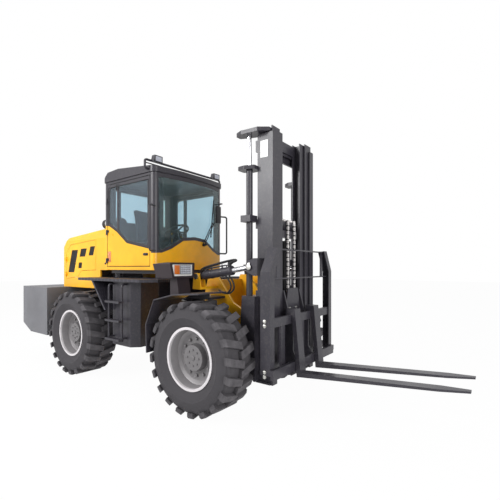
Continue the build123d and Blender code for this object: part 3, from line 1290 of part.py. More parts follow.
def light_bar():
    """The bent tube over the roof's front with a thinner one under it and two square work lamps."""
    # Half of the tube's path: distance from the middle, z
    half = ((CAB_HALF + ROOF_LIP + SEAT_GAP, LIGHT_FOOT_Z), (LIGHT_REACH, LIGHT_FOOT_Z),
            (LIGHT_REACH, LIGHT_Z))
    points = [(LIGHT_X, -y, z) for y, z in half] + [(LIGHT_X, y, z) for y, z in reversed(half)]
    bar = tube_path(points, LIGHT_TUBE_R, 2 * LIGHT_TUBE_R)
    low_z = LIGHT_Z - LIGHT_BAR_DROP
    bar += rod((LIGHT_X, -LIGHT_REACH, low_z), (LIGHT_X, LIGHT_REACH, low_z), LIGHT_TUBE_R / 2)
    front = LIGHT_X + LIGHT_TUBE_R + LIGHT_LAMP_DEEP
    low, high = LIGHT_Z - LIGHT_TUBE_R - 2 * RUN_GAP, LIGHT_Z + LIGHT_LAMP_HALF
    box_of = [(LIGHT_X, low + CAP_T), (front - CAP_T, low), (front, high), (LIGHT_X + 2 * CAP_T, high)]
    for y in (-LIGHT_LAMP_Y, LIGHT_LAMP_Y):
        bar += side_plate(box_of, (y - LIGHT_LAMP_HALF, y + LIGHT_LAMP_HALF))
    return bar


def handrails():
    """The bent rails at the front corners of the cab."""
    result = []
    low, high = RAIL_ZS
    for _, side in SIDES:
        y, out = side * (CAB_HALF - CAB_WALL), side * RAIL_OUT
        rail = tube_path([(RAIL_ROOT_X, y, low), (RAIL_X, out, low), (RAIL_X, out, high),
                          (RAIL_ROOT_X, y, high)], RAIL_R, 30)
        result.append(rail - cab_form(-SEAT_GAP, low - 2 * RAIL_R, high + 2 * RAIL_R))
    return result


os.makedirs("parts", exist_ok=True)

# Wheels and axles
tyre_solid = tyre()
rim_solid = rim()
for name, side in SIDES:
    for end, x in (("front", 0.0), ("rear", -WHEELBASE)):
        place = Pos(x, side * WHEEL_Y, TYRE_R)
        save(f"tyre_{end}_{name}", place * mirrored(tyre_solid, side))
        save(f"rim_{end}_{name}", place * mirrored(rim_solid, side))
save("front_axle", axle(0))
save("rear_axle", axle(-WHEELBASE))

# Front half with its cylinders
save("front_frame", front_frame())
save("fenders", *fenders())
lamp_shells, lamp_lenses = headlamps()
save("headlamp_housings", *lamp_shells)
save("headlamp_lenses", *lamp_lenses)
tilt = [cylinder((TILT_BASE_X, side * TILT_Y, TILT_BASE_Z), (TILT_EYE_X, side * TILT_Y, TILT_EYE_Z),
                 (0, 1, 0), TILT_CYLINDER)
        for _, side in SIDES]
save("tilt_barrels", *[barrel for barrel, _ in tilt])
save("tilt_rods", *[stem for _, stem in tilt])
tilt_ear_in, tilt_ear_out = TILT_Y - EAR_SPREAD - EAR_T, TILT_Y + EAR_SPREAD + EAR_T
save("front_pins", *pin_caps(TILT_BASE_X, TILT_BASE_Z, tilt_ear_in - BITE, tilt_ear_out, TILT_CAP_R,
                             TILT_PIN_R),
     *pin_caps(MAST_PIVOT_X, MAST_PIVOT_Z, FRONT_PLATE_IN - 2 * RUN_GAP,
               FRONT_PLATE_IN + 2 * PLATE_T + 7, 50, MAST_PIN_R))
for name, side in SIDES:
    base, eye = (STEER_BASE_X, side * STEER_BASE_Y, STEER_Z), (STEER_EYE_X, side * STEER_EYE_Y, STEER_Z)
    barrel, stem = cylinder(base, eye, (0, 0, 1), STEER_CYLINDER)
    save(f"steer_barrel_{name}", barrel)
    save(f"steer_rod_{name}", stem)

# Mast, carriage and forks
save("outer_mast", outer_mast())
save("lift_barrels", *lift_barrels())
save("middle_mast", middle_mast())
save("lift_rods", *lift_rods())
save("inner_mast", inner_mast())
save("free_lift_barrel", free_lift_barrel())
save("crosshead", crosshead())
save("chains", *chains())
save("carriage", carriage())
save("load_guard", load_guard())
for name, side in SIDES:
    save(f"fork_{name}", fork(side * FORK_Y))

# Rear half
save("rear_frame", rear_frame())
save("rear_pins", *pivot_pins())
save("counterweight", counterweight())
save("engine_block", engine())
save("hood", *hood())
save("rear_grille", grille())
save("air_cleaner", air_cleaner())
for name, side in SIDES:
    save(f"hood_door_{name}", *hood_door(side))
save("decks", *decks())
save("side_tanks", *side_tanks())
save("ladders", *ladders())

# Cab and what is in and on it
cab_body, cab_frame, cab_glass = cab_pieces()
save("cab_body", cab_body)
door_x = DOOR_REAR_X + DOOR_GAP / 2
save("cab_frame", cab_frame, cab_roof(), *[hinge(door_x, side, CAB_HALF, z)[1] for _,
                                           side in SIDES for z in CAB_HINGES])
save("cab_glass", *cab_glass)
save("cab_base", cab_base())
for name, side in SIDES:
    panel, upper, pane = door_pieces(side)
    save(f"door_panel_{name}", panel)
    save(f"door_frame_{name}", upper, *[hinge(door_x, side, CAB_HALF, z)[0] for z in CAB_HINGES])
    save(f"door_glass_{name}", pane)
seat_stand, seat_cushion, seat_back = seat()
save("seat_cushions", seat_cushion, seat_back)
dash, steering_wheel = controls()
save("cab_fittings", seat_stand, dash)
save("steering_wheel", steering_wheel)
save("light_bar", light_bar())
save("handrails", *handrails())
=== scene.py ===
import json
import math

import bpy
from mathutils import Matrix, Vector

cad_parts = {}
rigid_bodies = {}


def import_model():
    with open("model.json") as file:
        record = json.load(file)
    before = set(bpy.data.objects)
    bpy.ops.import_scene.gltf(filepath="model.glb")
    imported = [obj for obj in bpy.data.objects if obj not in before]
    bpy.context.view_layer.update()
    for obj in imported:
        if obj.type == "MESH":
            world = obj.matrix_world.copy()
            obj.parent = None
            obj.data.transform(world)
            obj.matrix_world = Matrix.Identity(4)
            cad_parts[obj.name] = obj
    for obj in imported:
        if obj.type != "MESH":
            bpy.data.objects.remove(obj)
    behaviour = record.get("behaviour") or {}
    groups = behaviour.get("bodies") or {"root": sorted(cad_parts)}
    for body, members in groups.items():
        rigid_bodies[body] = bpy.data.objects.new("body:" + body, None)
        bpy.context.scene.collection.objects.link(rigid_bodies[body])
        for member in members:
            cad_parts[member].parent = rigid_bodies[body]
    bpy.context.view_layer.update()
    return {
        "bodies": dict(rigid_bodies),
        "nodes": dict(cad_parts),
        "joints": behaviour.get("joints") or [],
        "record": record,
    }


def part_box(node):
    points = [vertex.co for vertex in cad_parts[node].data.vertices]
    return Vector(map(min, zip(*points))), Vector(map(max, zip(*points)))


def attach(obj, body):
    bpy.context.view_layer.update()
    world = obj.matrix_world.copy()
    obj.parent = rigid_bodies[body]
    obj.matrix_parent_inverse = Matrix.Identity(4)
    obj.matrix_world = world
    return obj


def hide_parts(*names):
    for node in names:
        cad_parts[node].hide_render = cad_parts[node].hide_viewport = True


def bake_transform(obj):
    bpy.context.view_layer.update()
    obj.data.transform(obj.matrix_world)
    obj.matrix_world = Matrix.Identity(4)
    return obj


bl_info = {
    "name": "Rough Terrain Forklift Dressing",
    "version": (1, 0, 0),
    "blender": (4, 5, 0),
    "location": "View3D > Sidebar > Forklift",
    "description": "Finishes and small fittings for a packed rough terrain forklift",
    "category": "Object",
}

MM = 0.001

for leftover in list(bpy.data.objects):
    bpy.data.objects.remove(leftover)
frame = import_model()
NODES = frame["nodes"]
AXLE_LOW, AXLE_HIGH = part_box("front_axle")
AXLE_X = (AXLE_LOW.x + AXLE_HIGH.x) / 2
WHEELBASE = 2450.0
REAR_AXLE_X = AXLE_X - WHEELBASE * MM
WHEEL_Y = 815.0
WHEEL_Z = 595.0
SIDES = (("right", -1.0), ("left", 1.0))
ENAMEL_IOR = 1.34  # enamel and rubber under a film of dust reflect less than clean ones

# Vents of the hood's side doors: x of the lower rear corner, z, width, height and slant
VENTS = ((-3341, 1462, 200, 370, 123), (-2975, 1718, 180, 130, 52), (-2692, 1732, 138, 142, 54),
         (-3012, 1530, 108, 95, 18))

# Corners of a door's glass and of the lining behind its panel: x, z
GLASS_CORNERS = ((-2010, 2690), (-2010, 2165), (-1990, 2150), (-1800, 2058), (-1570, 1893),
                 (-1106, 1800), (-1092, 1806), (-1092, 2690))
TRIM_CORNERS = ((-1080, 1580), (-1080, 1760), (-1570, 1860), (-1800, 2025), (-1990, 2120),
                (-2075, 2150), (-2075, 1580))

# The bowed windscreen seen from above: x of its middle and the radius of its bow
SCREEN_X = -905.0
SCREEN_R = 2528.0


def at(x, y, z):
    """A place in the scene from millimetres measured from the middle of the front axle and the ground."""
    return Vector((AXLE_X + x * MM, y * MM, z * MM))


def screen_x(y):
    """How far forward the windscreen reaches at this distance from the middle."""
    return SCREEN_X - SCREEN_R + math.sqrt(SCREEN_R ** 2 - y ** 2)


def linear(code):
    """An sRGB hex colour as the linear values that the shaders use."""
    parts = [int(code[place:place + 2], 16) / 255 for place in (0, 2, 4)]
    return tuple(part / 12.92 if part <= 0.04045 else ((part + 0.055) / 1.055) ** 2.4 for part in parts)


def per_mm(spacing):
    """The texture scale, in repeats per metre, of a pattern this many millimetres apart."""
    return 1 / (spacing * MM)


def colour(default, name, description):
    """A colour setting with its default as a hex value."""
    return bpy.props.FloatVectorProperty(name=name, description=description, subtype="COLOR", size=3,
                                         min=0, max=1, default=linear(default))


def length(default, name, description):
    """A length setting with its default in metres."""
    return bpy.props.FloatProperty(name=name, description=description, unit="LENGTH", default=default)


class ForkliftColours(bpy.types.PropertyGroup):
    """The colours of the finishes."""

    body_yellow: colour("F1B01C", "Body yellow",
                        "Enamel of the cab, the hood and the arms of the front frame")
    steel_grey: colour("2F2D34", "Steel grey", "Enamel of the mast, the frame and the tanks")
    weight_grey: colour("66666A", "Counterweight grey", "Enamel of the cast counterweight")
    axle_grey: colour("3C3B40", "Axle grey", "Enamel of the axles and the engine")
    rim_silver: colour("B9B5B7", "Rim silver", "Enamel of the wheel rims")
    rubber: colour("3D3B3E", "Tyre rubber", "Dusty rubber of the tyres")
    rubber_tips: colour("625F62", "Tyre lug tips", "Paler rubber where the lugs scrub the ground")
    side_glass: colour("CBDFEE", "Side glass", "Tint of the door and rear windows")
    screen_glass: colour("CCE1E3", "Screen glass", "Tint of the windscreen")
    amber: colour("E8761A", "Amber", "Turn lamps and side reflectors")
    seat: colour("2B2C30", "Seat cloth", "Cloth of the driver's seat")
    backdrop: colour("FFFFFF", "Backdrop", "Floor and background")


class ForkliftSizes(bpy.types.PropertyGroup):
    """The sizes of the small fittings."""

    nut_across: length(0.034, "Wheel nut", "Width of a wheel nut across its corners")
    nut_circle: length(0.195, "Nut circle", "Radius of the circle of wheel nuts")
    bolt_across: length(0.022, "Frame bolt", "Width of a frame bolt across its corners")
    hose: length(0.019, "Hose", "Outer diameter of a hydraulic hose")
    gasket: length(0.012, "Window gasket", "Width of the rubber round a window")
    chain_pitch: length(0.0254, "Chain pitch", "Distance between the pins of a leaf chain")
    lens: length(0.0252, "Focal length", "Camera lens on a 36 mm sensor")
    eye_height: length(1.55, "Eye height", "Height of the camera above the ground")


# Shaping tools

def clear():
    """Deselects everything, so that the next operator acts on its own piece alone."""
    bpy.ops.object.select_all(action="DESELECT")


def take(*pieces):
    """Selects only these pieces and makes the last one active."""
    clear()
    for piece in pieces:
        piece.select_set(True)
    bpy.context.view_layer.objects.active = pieces[-1]


def settle(piece):
    """Puts the piece's place into its mesh, so that its object sits at the origin."""
    take(piece)
    bpy.ops.object.transform_apply(location=True, rotation=True, scale=True)
    return piece


def slab(name, low, high):
    """A block between two corners."""
    clear()
    bpy.ops.mesh.primitive_cube_add(size=1, location=(low + high) / 2)
    piece = bpy.context.object
    piece.name = name
    piece.scale = [abs(value) for value in high - low]
    return settle(piece)


def block(name, xs, ys, zs, edge=2.0):
    """A block with rounded edges, between limits in millimetres from the front axle."""
    low, high = (at(*[pick_of(pair) for pair in (xs, ys, zs)]) for pick_of in (min, max))
    return rounded(slab(name, low, high), edge * MM)


def frame_round(name, xs, ys, zs, axis, width):
    """An open frame: a block with a hole along one axis that leaves a border of this width in millimetres."""
    low, high = (at(*[pick_of(pair) for pair in (xs, ys, zs)]) for pick_of in (min, max))
    piece = slab(name, low, high)
    pick(piece, lambda middle, normal: abs(normal[axis]) > 0.9)
    bpy.ops.mesh.inset(thickness=width * MM)
    bpy.ops.mesh.bridge_edge_loops()
    leave()
    return rounded(piece, 1.5 * MM)


def cut_sheet(name, outline, y, thick):
    """A flat sheet parallel to the sides, cut to an outline of x and z in millimetres from the front axle."""
    line = bpy.data.curves.new(name, "CURVE")
    line.dimensions = "2D"
    line.fill_mode = "BOTH"
    line.extrude = thick * MM / 2
    spline = line.splines.new("POLY")
    spline.points.add(len(outline) - 1)
    for point, (x, z) in zip(spline.points, outline):
        point.co = (AXLE_X + x * MM, z * MM, 0, 1)
    spline.use_cyclic_u = True
    piece = bpy.data.objects.new(name, line)
    bpy.context.scene.collection.objects.link(piece)
    piece.rotation_euler = (math.pi / 2, 0, 0)
    piece.location = (0, y * MM, 0)
    take(piece)
    bpy.ops.object.convert(target="MESH")
    return settle(bpy.context.object)


def bar(name, start, end, radius, sides=24):
    """A round or many-sided bar from one place to another."""
    clear()
    along = end - start
    bpy.ops.mesh.primitive_cylinder_add(vertices=sides, radius=radius, depth=along.length,
                                        location=(start + end) / 2)
    piece = bpy.context.object
    piece.name = name
    piece.rotation_mode = "QUATERNION"
    piece.rotation_quaternion = along.to_track_quat("Z", "Y")
    return settle(piece)


def modify(piece, kind, **settings):
    """Adds a modifier with its settings and applies it."""
    take(piece)
    bpy.ops.object.modifier_add(type=kind)
    added = piece.modifiers[-1]
    for key, value in settings.items():
        setattr(added, key, value)
    bpy.ops.object.modifier_apply(modifier=added.name)
    return piece


def rounded(piece, width, segments=2):
    """Rounds the piece's sharp edges."""
    return modify(piece, "BEVEL", width=width, segments=segments, limit_method="ANGLE",
                  angle_limit=math.radians(40))


def pick(piece, wanted, parts="FACE"):
    """Enters edit mode with only the faces or edges selected whose middle and normal pass the test."""
    take(piece)
    mesh = piece.data
    for group in (mesh.vertices, mesh.edges, mesh.polygons):
        for part in group:
            part.select = False
    if parts == "FACE":
        for face in mesh.polygons:
            face.select = wanted(face.center, face.normal)
    else:
        for edge in mesh.edges:
            ends = [mesh.vertices[index].co for index in edge.vertices]
            edge.select = wanted((ends[0] + ends[1]) / 2, (ends[1] - ends[0]).normalized())
    bpy.ops.object.mode_set(mode="EDIT")
    bpy.ops.mesh.select_mode(type=parts)


def leave():
    """Leaves edit mode."""
    bpy.ops.object.mode_set(mode="OBJECT")


def stepped(piece, axis, way, border, depth):
    """Insets the face that points one way along an axis, and moves its middle out by a depth, or in."""
    pick(piece, lambda middle, normal: normal[axis] * way > 0.9)
    bpy.ops.mesh.inset(thickness=border, depth=depth)
    leave()
    return piece


def leaned(piece, shift):
    """Moves a block's top face sideways."""
    pick(piece, lambda middle, normal: normal.z > 0.9)
    bpy.ops.transform.translate(value=shift)
    leave()
    return piece


def joined(name, pieces):
    """Joins pieces into one, named mesh."""
    take(*pieces)
    if len(pieces) > 1:
        bpy.ops.object.join()
    piece = bpy.context.object
    piece.name = name
    return piece


def repeated(name, pattern, places):
    """Copies a piece modelled at the origin to each place, a matrix, and joins the copies."""
    copies = []
    for place in places:
        copy = pattern.copy()
        copy.data = pattern.data.copy()
        copy.matrix_world = place
        bpy.context.scene.collection.objects.link(copy)
        copies.append(copy)
    bpy.data.objects.remove(pattern)
    for copy in copies:
        settle(copy)
    return joined(name, copies)


def facing(place, outward, turn=0.0):
    """The matrix that stands a piece modelled along +Z at a place, pointing outward."""
    aimed = Vector(outward).to_track_quat("Z", "Y").to_matrix().to_4x4()
    return Matrix.Translation(place) @ aimed @ Matrix.Rotation(turn, 4, "Z")


def smooth(piece, angle=35):
    """Shades the piece smooth where its faces meet gently."""
    take(piece)
    bpy.ops.object.shade_smooth_by_angle(angle=math.radians(angle))
    return piece


def coated(piece, finish):
    """Gives a finished piece its material and its shading."""
    piece.data.materials.clear()
    piece.data.materials.append(FINISHES[finish])
    return smooth(piece)


def fitted(piece, body, finish):
    """Gives a finished piece its finish, its body and the slot it takes its finish from."""
    coated(piece, finish)
    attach(piece, body)
    return piece


def assembled(name, pieces, body, finish):
    """Joins pieces into one, named mesh and fits it."""
    return fitted(joined(name, pieces), body, finish)


def bolt_head(across, height):
    """A hexagon head with a chamfer on a washer, at the origin along +Z."""
    head = bar("head", Vector((0, 0, 0)), Vector((0, 0, height)), across / 2, 6)
    stepped(head, 2, 1, across * 0.08, height * 0.12)
    washer = bar("washer", Vector((0, 0, -height * 0.1)), Vector((0, 0, height * 0.16)), across * 0.62, 20)
    return joined("bolt", [head, washer])


def hose(name, points, diameter):
    """A hose held at both ends, along a smooth line through its control points."""
    line = bpy.data.curves.new(name, "CURVE")
    line.dimensions = "3D"
    line.bevel_depth = diameter / 2
    line.bevel_resolution = 3
    line.resolution_u = 6
    line.use_fill_caps = True
    spline = line.splines.new("NURBS")
    spline.points.add(len(points) - 1)
    for point, place in zip(spline.points, points):
        point.co = (*place, 1)
    spline.order_u = 3
    spline.use_endpoint_u = True
    piece = bpy.data.objects.new(name, line)
    bpy.context.scene.collection.objects.link(piece)
    take(piece)
    bpy.ops.object.convert(target="MESH")
    return bpy.context.object


# Finishes

def add_node(tree, kind, values=None, links=None, **settings):
    """Adds a shader node with its settings, its socket values and its links."""
    node = tree.nodes.new(kind)
    for key, value in settings.items():
        setattr(node, key, value)
    for socket, value in (values or {}).items():
        node.inputs[socket].default_value = value
    for socket, source in (links or {}).items():
        tree.links.new(source, node.inputs[socket])
    return node


def new_finish(name, shade, **surface):
    """A material named for what it is, with its colour, surface values and Object coordinates."""
    material = bpy.data.materials.new(name)
    material.use_nodes = True
    material.diffuse_color = (*shade, 1)
    tree = material.node_tree
    shader = tree.nodes["Principled BSDF"]
    shader.inputs["Base Color"].default_value = (*shade, 1)
    for socket, value in surface.items():
        shader.inputs[socket.replace("_", " ")].default_value = value
    coordinates = add_node(tree, "ShaderNodeTexCoord")
    return material, tree, shader, coordinates.outputs["Object"]


def scaled(shade, factor):
    """A colour made lighter or darker."""
    return (*[min(1.0, part * factor) for part in shade], 1)


def noise(tree, place, spacing, **values):
    """Soft noise whose features are this many millimetres apart."""
    return add_node(tree, "ShaderNodeTexNoise", {"Scale": per_mm(spacing), **values},
                    {"Vector": place}).outputs["Fac"]


def cells(tree, place, spacing, values=None, **settings):
    """The distance to the middle of the nearest cell, with cells this many millimetres across."""
    found = add_node(tree, "ShaderNodeTexVoronoi", {"Scale": per_mm(spacing), **(values or {})},
                     {"Vector": place}, **settings)
    return found.outputs["Distance"]


def spread(tree, source, low, high, to_low=0.0, to_high=1.0):
    """One range of a value, mapped to another."""
    values = {"From Min": low, "From Max": high, "To Min": to_low, "To Max": to_high}
    return add_node(tree, "ShaderNodeMapRange", values, {"Value": source}).outputs["Result"]


def worked(tree, operation, *terms):
    """A sum on terms that are numbers or sockets."""
    numbers = {place: term for place, term in enumerate(terms) if isinstance(term, (int, float))}
    sockets = {place: term for place, term in enumerate(terms) if place not in numbers}
    return add_node(tree, "ShaderNodeMath", numbers, sockets, operation=operation).outputs["Value"]


def overlaid(tree, share, under, over):
    """One colour laid over another by a share. Each is a colour or a socket."""
    layers = {"A": under, "B": over}
    values = {key: layer for key, layer in layers.items() if isinstance(layer, tuple)}
    links = {key: layer for key, layer in layers.items() if key not in values}
    return add_node(tree, "ShaderNodeMix", values, {**links, "Factor": share},
                    data_type="RGBA").outputs["Result"]


def two_tone(tree, source, low, high):
    """A colour ramp between two stops, each a position and a colour."""
    ramp = add_node(tree, "ShaderNodeValToRGB", None, {"Fac": source})
    for stop, (position, shade) in zip(ramp.color_ramp.elements, (low, high)):
        stop.position = position
        stop.color = shade
    return ramp.outputs["Color"]


def embossed(tree, shader, height, strength, depth):
    """Relief on the surface, this many metres deep."""
    relief = add_node(tree, "ShaderNodeBump", {"Strength": strength, "Distance": depth}, {"Height": height})
    tree.links.new(relief.outputs["Normal"], shader.inputs["Normal"])


def sprayed_enamel(name, shade, roughness, dust, peel):
    """Alkyd machine enamel, sprayed over steel: a slightly wavy gloss with dust lying in soft patches.

    The peel is 2 to 3 mm on real paint and is drawn coarser, at the size given in mm, so that it shows."""
    material, tree, shader, place = new_finish(name, shade, Roughness=roughness, IOR=ENAMEL_IOR,
                                               Coat_Weight=0.25, Coat_Roughness=0.2)
    patches = noise(tree, place, 420, Detail=5, Roughness=0.62)
    tone = two_tone(tree, patches, (0.36, scaled(shade, 0.88)), (0.68, scaled(shade, 1.08)))
    specks = noise(tree, place, 26, Detail=4, Roughness=0.7)
    dusty = overlaid(tree, spread(tree, specks, 0.5, 0.78, 0.0, dust), tone, (*linear("8A8178"), 1))
    tree.links.new(dusty, shader.inputs["Base Color"])
    gloss = spread(tree, patches, 0.3, 0.7, roughness * 0.8, roughness * 1.3)
    tree.links.new(gloss, shader.inputs["Roughness"])
    embossed(tree, shader, noise(tree, place, peel, Detail=2), 0.12, 0.002)
    return material


def cast_enamel(name, shade, grain):
    """Satin enamel on grey cast iron: the sand mould leaves a skin of pebbles, this many mm apart."""
    material, tree, shader, place = new_finish(name, shade, Roughness=0.55, IOR=ENAMEL_IOR, Coat_Weight=0.1,
                                               Coat_Roughness=0.4)
    patches = noise(tree, place, 500, Detail=6, Roughness=0.6)
    tone = two_tone(tree, patches, (0.35, scaled(shade, 0.86)), (0.7, scaled(shade, 1.12)))
    tree.links.new(tone, shader.inputs["Base Color"])
    pebbles = cells(tree, place, grain, {"Randomness": 1.0})
    pits = noise(tree, place, grain * 3, Detail=6, Roughness=0.7)
    embossed(tree, shader, worked(tree, "ADD", pebbles, pits), 0.3, 0.003)
    return material


def wheel_radius(tree, place, axle_x):
    """The distance of a point from the wheel's axis, in metres."""
    moved = add_node(tree, "ShaderNodeMapping", {"Location": (-axle_x, 0, -WHEEL_Z * MM)},
                     {"Vector": place})
    flat = add_node(tree, "ShaderNodeVectorMath", {1: (1, 0, 1)}, {0: moved.outputs["Vector"]},
                    operation="MULTIPLY")
    return add_node(tree, "ShaderNodeVectorMath", None, {0: flat.outputs["Vector"]},
                    operation="LENGTH").outputs["Value"]


def tyre_rubber(name, shade, tips, axle_x):
    """Vulcanised carbon black rubber from a segmented mould: fine rings on the sidewall, dust on the lugs.

    The mould's rings are 12 mm apart between the bead and the shoulder, 0.395 to 0.515 m from the axis."""
    material, tree, shader, place = new_finish(name, shade, Roughness=0.78, IOR=ENAMEL_IOR)
    radius = wheel_radius(tree, place, axle_x)
    worn = spread(tree, radius, 0.53, 0.592)
    dusty = spread(tree, noise(tree, place, 90, Detail=6, Roughness=0.65), 0.35, 0.75, 0.25, 1.0)
    mixed = overlaid(tree, worked(tree, "MULTIPLY", worn, dusty), (*shade, 1), (*tips, 1))
    tree.links.new(mixed, shader.inputs["Base Color"])
    rings = worked(tree, "SINE", worked(tree, "MULTIPLY", radius, 2 * math.pi * per_mm(12)))
    wall = worked(tree, "COMPARE", radius, 0.455, 0.06)
    shown = worked(tree, "MULTIPLY", rings, wall)
    height = worked(tree, "MULTIPLY_ADD", noise(tree, place, 6, Detail=4), 0.35, shown)
    embossed(tree, shader, height, 0.35, 0.002)
    return material


def rim_enamel(name, shade, axle_x):
    """Silver enamel on a pressed steel rim, with painted shade that darkens the recessed dish towards the hub
    and a painted highlight on the outer face of the lip.
    """
    material, tree, shader, place = new_finish(name, shade, Metallic=0.25, Roughness=0.42)
    radius = wheel_radius(tree, place, axle_x)
    blotched = worked(tree, "MULTIPLY_ADD", noise(tree, place, 60, Detail=5, Roughness=0.6), 0.02, radius)
    tone = add_node(tree, "ShaderNodeValToRGB", None, {"Fac": blotched})
    stops = tone.color_ramp.elements
    # Painted shade: the colour falls from full at the lip to three tenths near the hub, where the recessed
    # dish lies in shade.
    for position, factor in ((0.2, 0.3), (0.27, 0.42), (0.315, 0.6), (0.33, 1.0)):
        stops.new(position).color = scaled(shade, factor)
    stops.remove(stops[0])
    stops.remove(stops[-1])
    # Painted highlight: the outer face of the rim, beyond 0.958 m from the middle of the machine, is made a
    # quarter brighter.
    parts = add_node(tree, "ShaderNodeSeparateXYZ", None, {"Vector": place})
    lip = spread(tree, worked(tree, "ABSOLUTE", parts.outputs["Y"]), 0.958, 0.966)
    lip_highlighted = overlaid(tree, lip, tone.outputs["Color"], scaled(shade, 1.25))
    tree.links.new(lip_highlighted, shader.inputs["Base Color"])
    embossed(tree, shader, noise(tree, place, 14, Detail=2), 0.1, 0.001)
    return material


def ground_metal(name, shade, roughness, grain, metallic=1.0):
    """Bare or plated steel: fine drawn lines, this many mm apart, stretched along the height."""
    material, tree, shader, place = new_finish(name, shade, Metallic=metallic, Roughness=roughness)
    drawn = add_node(tree, "ShaderNodeMapping", {"Scale": (1, 1, 0.05)}, {"Vector": place})
    lines = noise(tree, drawn.outputs["Vector"], grain, Detail=3)
    tree.links.new(spread(tree, lines, 0.3, 0.7, roughness * 0.7, roughness * 1.5),
                   shader.inputs["Roughness"])
    embossed(tree, shader, lines, 0.06, 0.0005)
    return material


def tinted_glass(name, shade, clear):
    """Float glass with a light body tint: a clear gloss with faint dried water marks, some 60 mm apart."""
    material, tree, shader, place = new_finish(name, shade, Roughness=0.02, IOR=1.2, Coat_Weight=0.3,
                                               Coat_Roughness=0.03, Transmission_Weight=clear)
    marks = noise(tree, place, 60, Detail=5, Roughness=0.6)
    tree.links.new(spread(tree, marks, 0.4, 0.75, 0.0, 0.04), shader.inputs["Roughness"])
    sweep = noise(tree, place, 700, Detail=1)
    tone = two_tone(tree, sweep, (0.35, scaled(shade, 0.94)), (0.65, scaled(shade, 1.02)))
    tree.links.new(tone, shader.inputs["Base Color"])
    return material


def moulded_plastic(name, shade, roughness, grain):
    """ABS or rubber from a spark-eroded mould: an even leather grain, this many mm across."""
    material, tree, shader, place = new_finish(name, shade, Roughness=roughness, IOR=1.36)
    embossed(tree, shader, cells(tree, place, grain, feature="SMOOTH_F1"), 0.2, 0.0008)
    worn = noise(tree, place, 150, Detail=4)
    gloss = spread(tree, worn, 0.3, 0.7, roughness * 0.85, min(1.0, roughness * 1.2))
    tree.links.new(gloss, shader.inputs["Roughness"])
    return material


def lamp_lens(name, shade, alpha, cell):
    """Clear or coloured acrylic with moulded honeycomb optics, its cells this many mm apart."""
    material, tree, shader, place = new_finish(name, shade, Roughness=0.08, IOR=1.49, Alpha=alpha,
                                               Coat_Weight=0.5, Coat_Roughness=0.05)
    optics = cells(tree, place, cell, {"Randomness": 0.0})
    embossed(tree, shader, optics, 0.8, 0.004)
    tone = two_tone(tree, optics, (0.0, scaled(shade, 1.1)), (0.75, scaled(shade, 0.6)))
    tree.links.new(tone, shader.inputs["Base Color"])
    return material


def tread_plate(name, shade):
    """Hot rolled chequer plate under enamel: raised almonds 30 mm apart, turned by 45 degrees."""
    material, tree, shader, place = new_finish(name, shade, Roughness=0.5, IOR=ENAMEL_IOR, Coat_Weight=0.15,
                                               Coat_Roughness=0.3)
    turn = {"Rotation": (0, 0, math.radians(45)), "Scale": (1, 2.6, 0)}
    turned = add_node(tree, "ShaderNodeMapping", turn, {"Vector": place})
    almonds = cells(tree, turned.outputs["Vector"], 60, {"Randomness": 0.0})
    raised = spread(tree, almonds, 0.2, 0.32, 1.0, 0.0)
    embossed(tree, shader, raised, 0.6, 0.003)
    tree.links.new(overlaid(tree, raised, scaled(shade, 0.9), scaled(shade, 1.5)),
                   shader.inputs["Base Color"])
    return material


def woven_cloth(name, shade):
    """Plain weave polyester seat cloth. Its threads, 0.6 mm apart, are drawn 6 mm apart so that they show."""
    material, tree, shader, place = new_finish(name, shade, Roughness=0.9, Sheen_Weight=0.4,
                                               Sheen_Roughness=0.5)
    values = {"Scale": per_mm(6) / (2 * math.pi), "Distortion": 0.6}
    threads = [add_node(tree, "ShaderNodeTexWave", values, {"Vector": place}, bands_direction=way)
               for way in "XY"]
    cloth = worked(tree, "MULTIPLY", *[thread.outputs["Fac"] for thread in threads])
    tree.links.new(overlaid(tree, cloth, scaled(shade, 0.7), scaled(shade, 1.5)),
                   shader.inputs["Base Color"])
    embossed(tree, shader, cloth, 0.4, 0.001)
    return material


FINISHES = {}

# The finish of each CAD node: the finish, then the nodes that take it
NODE_FINISHES = (
    ("yellow enamel", ("hood", "hood_door_right", "hood_door_left", "cab_body", "door_panel_right",
                       "door_panel_left", "front_frame")),
    ("grey enamel", ("outer_mast", "middle_mast", "inner_mast", "lift_barrels", "free_lift_barrel",
                     "crosshead", "carriage", "load_guard", "fork_right", "fork_left", "tilt_barrels",
                     "steer_barrel_right", "steer_barrel_left", "rear_frame", "side_tanks", "ladders",
                     "fenders", "cab_base", "cab_frame", "door_frame_right", "door_frame_left",
                     "handrails", "light_bar")),
    ("cast enamel", ("counterweight",)),
    ("axle enamel", ("front_axle", "rear_axle", "engine_block")),
    ("front tyre", ("tyre_front_right", "tyre_front_left")),
    ("rear tyre", ("tyre_rear_right", "tyre_rear_left")),
    ("front rim", ("rim_front_right", "rim_front_left")),
    ("rear rim", ("rim_rear_right", "rim_rear_left")),
    ("chrome", ("tilt_rods", "lift_rods", "steer_rod_right", "steer_rod_left")),
    ("zinc", ("front_pins", "rear_pins")),
    ("side glass", ("door_glass_right", "door_glass_left")),
    ("screen glass", ("cab_glass",)),
    ("lamp lens", ("headlamp_lenses",)),
    ("lamp shell", ("headlamp_housings",)),
    ("black plastic", ("rear_grille", "air_cleaner", "cab_fittings", "steering_wheel", "chains")),
    ("tread plate", ("decks",)),
    ("seat cloth", ("seat_cushions",)),
)


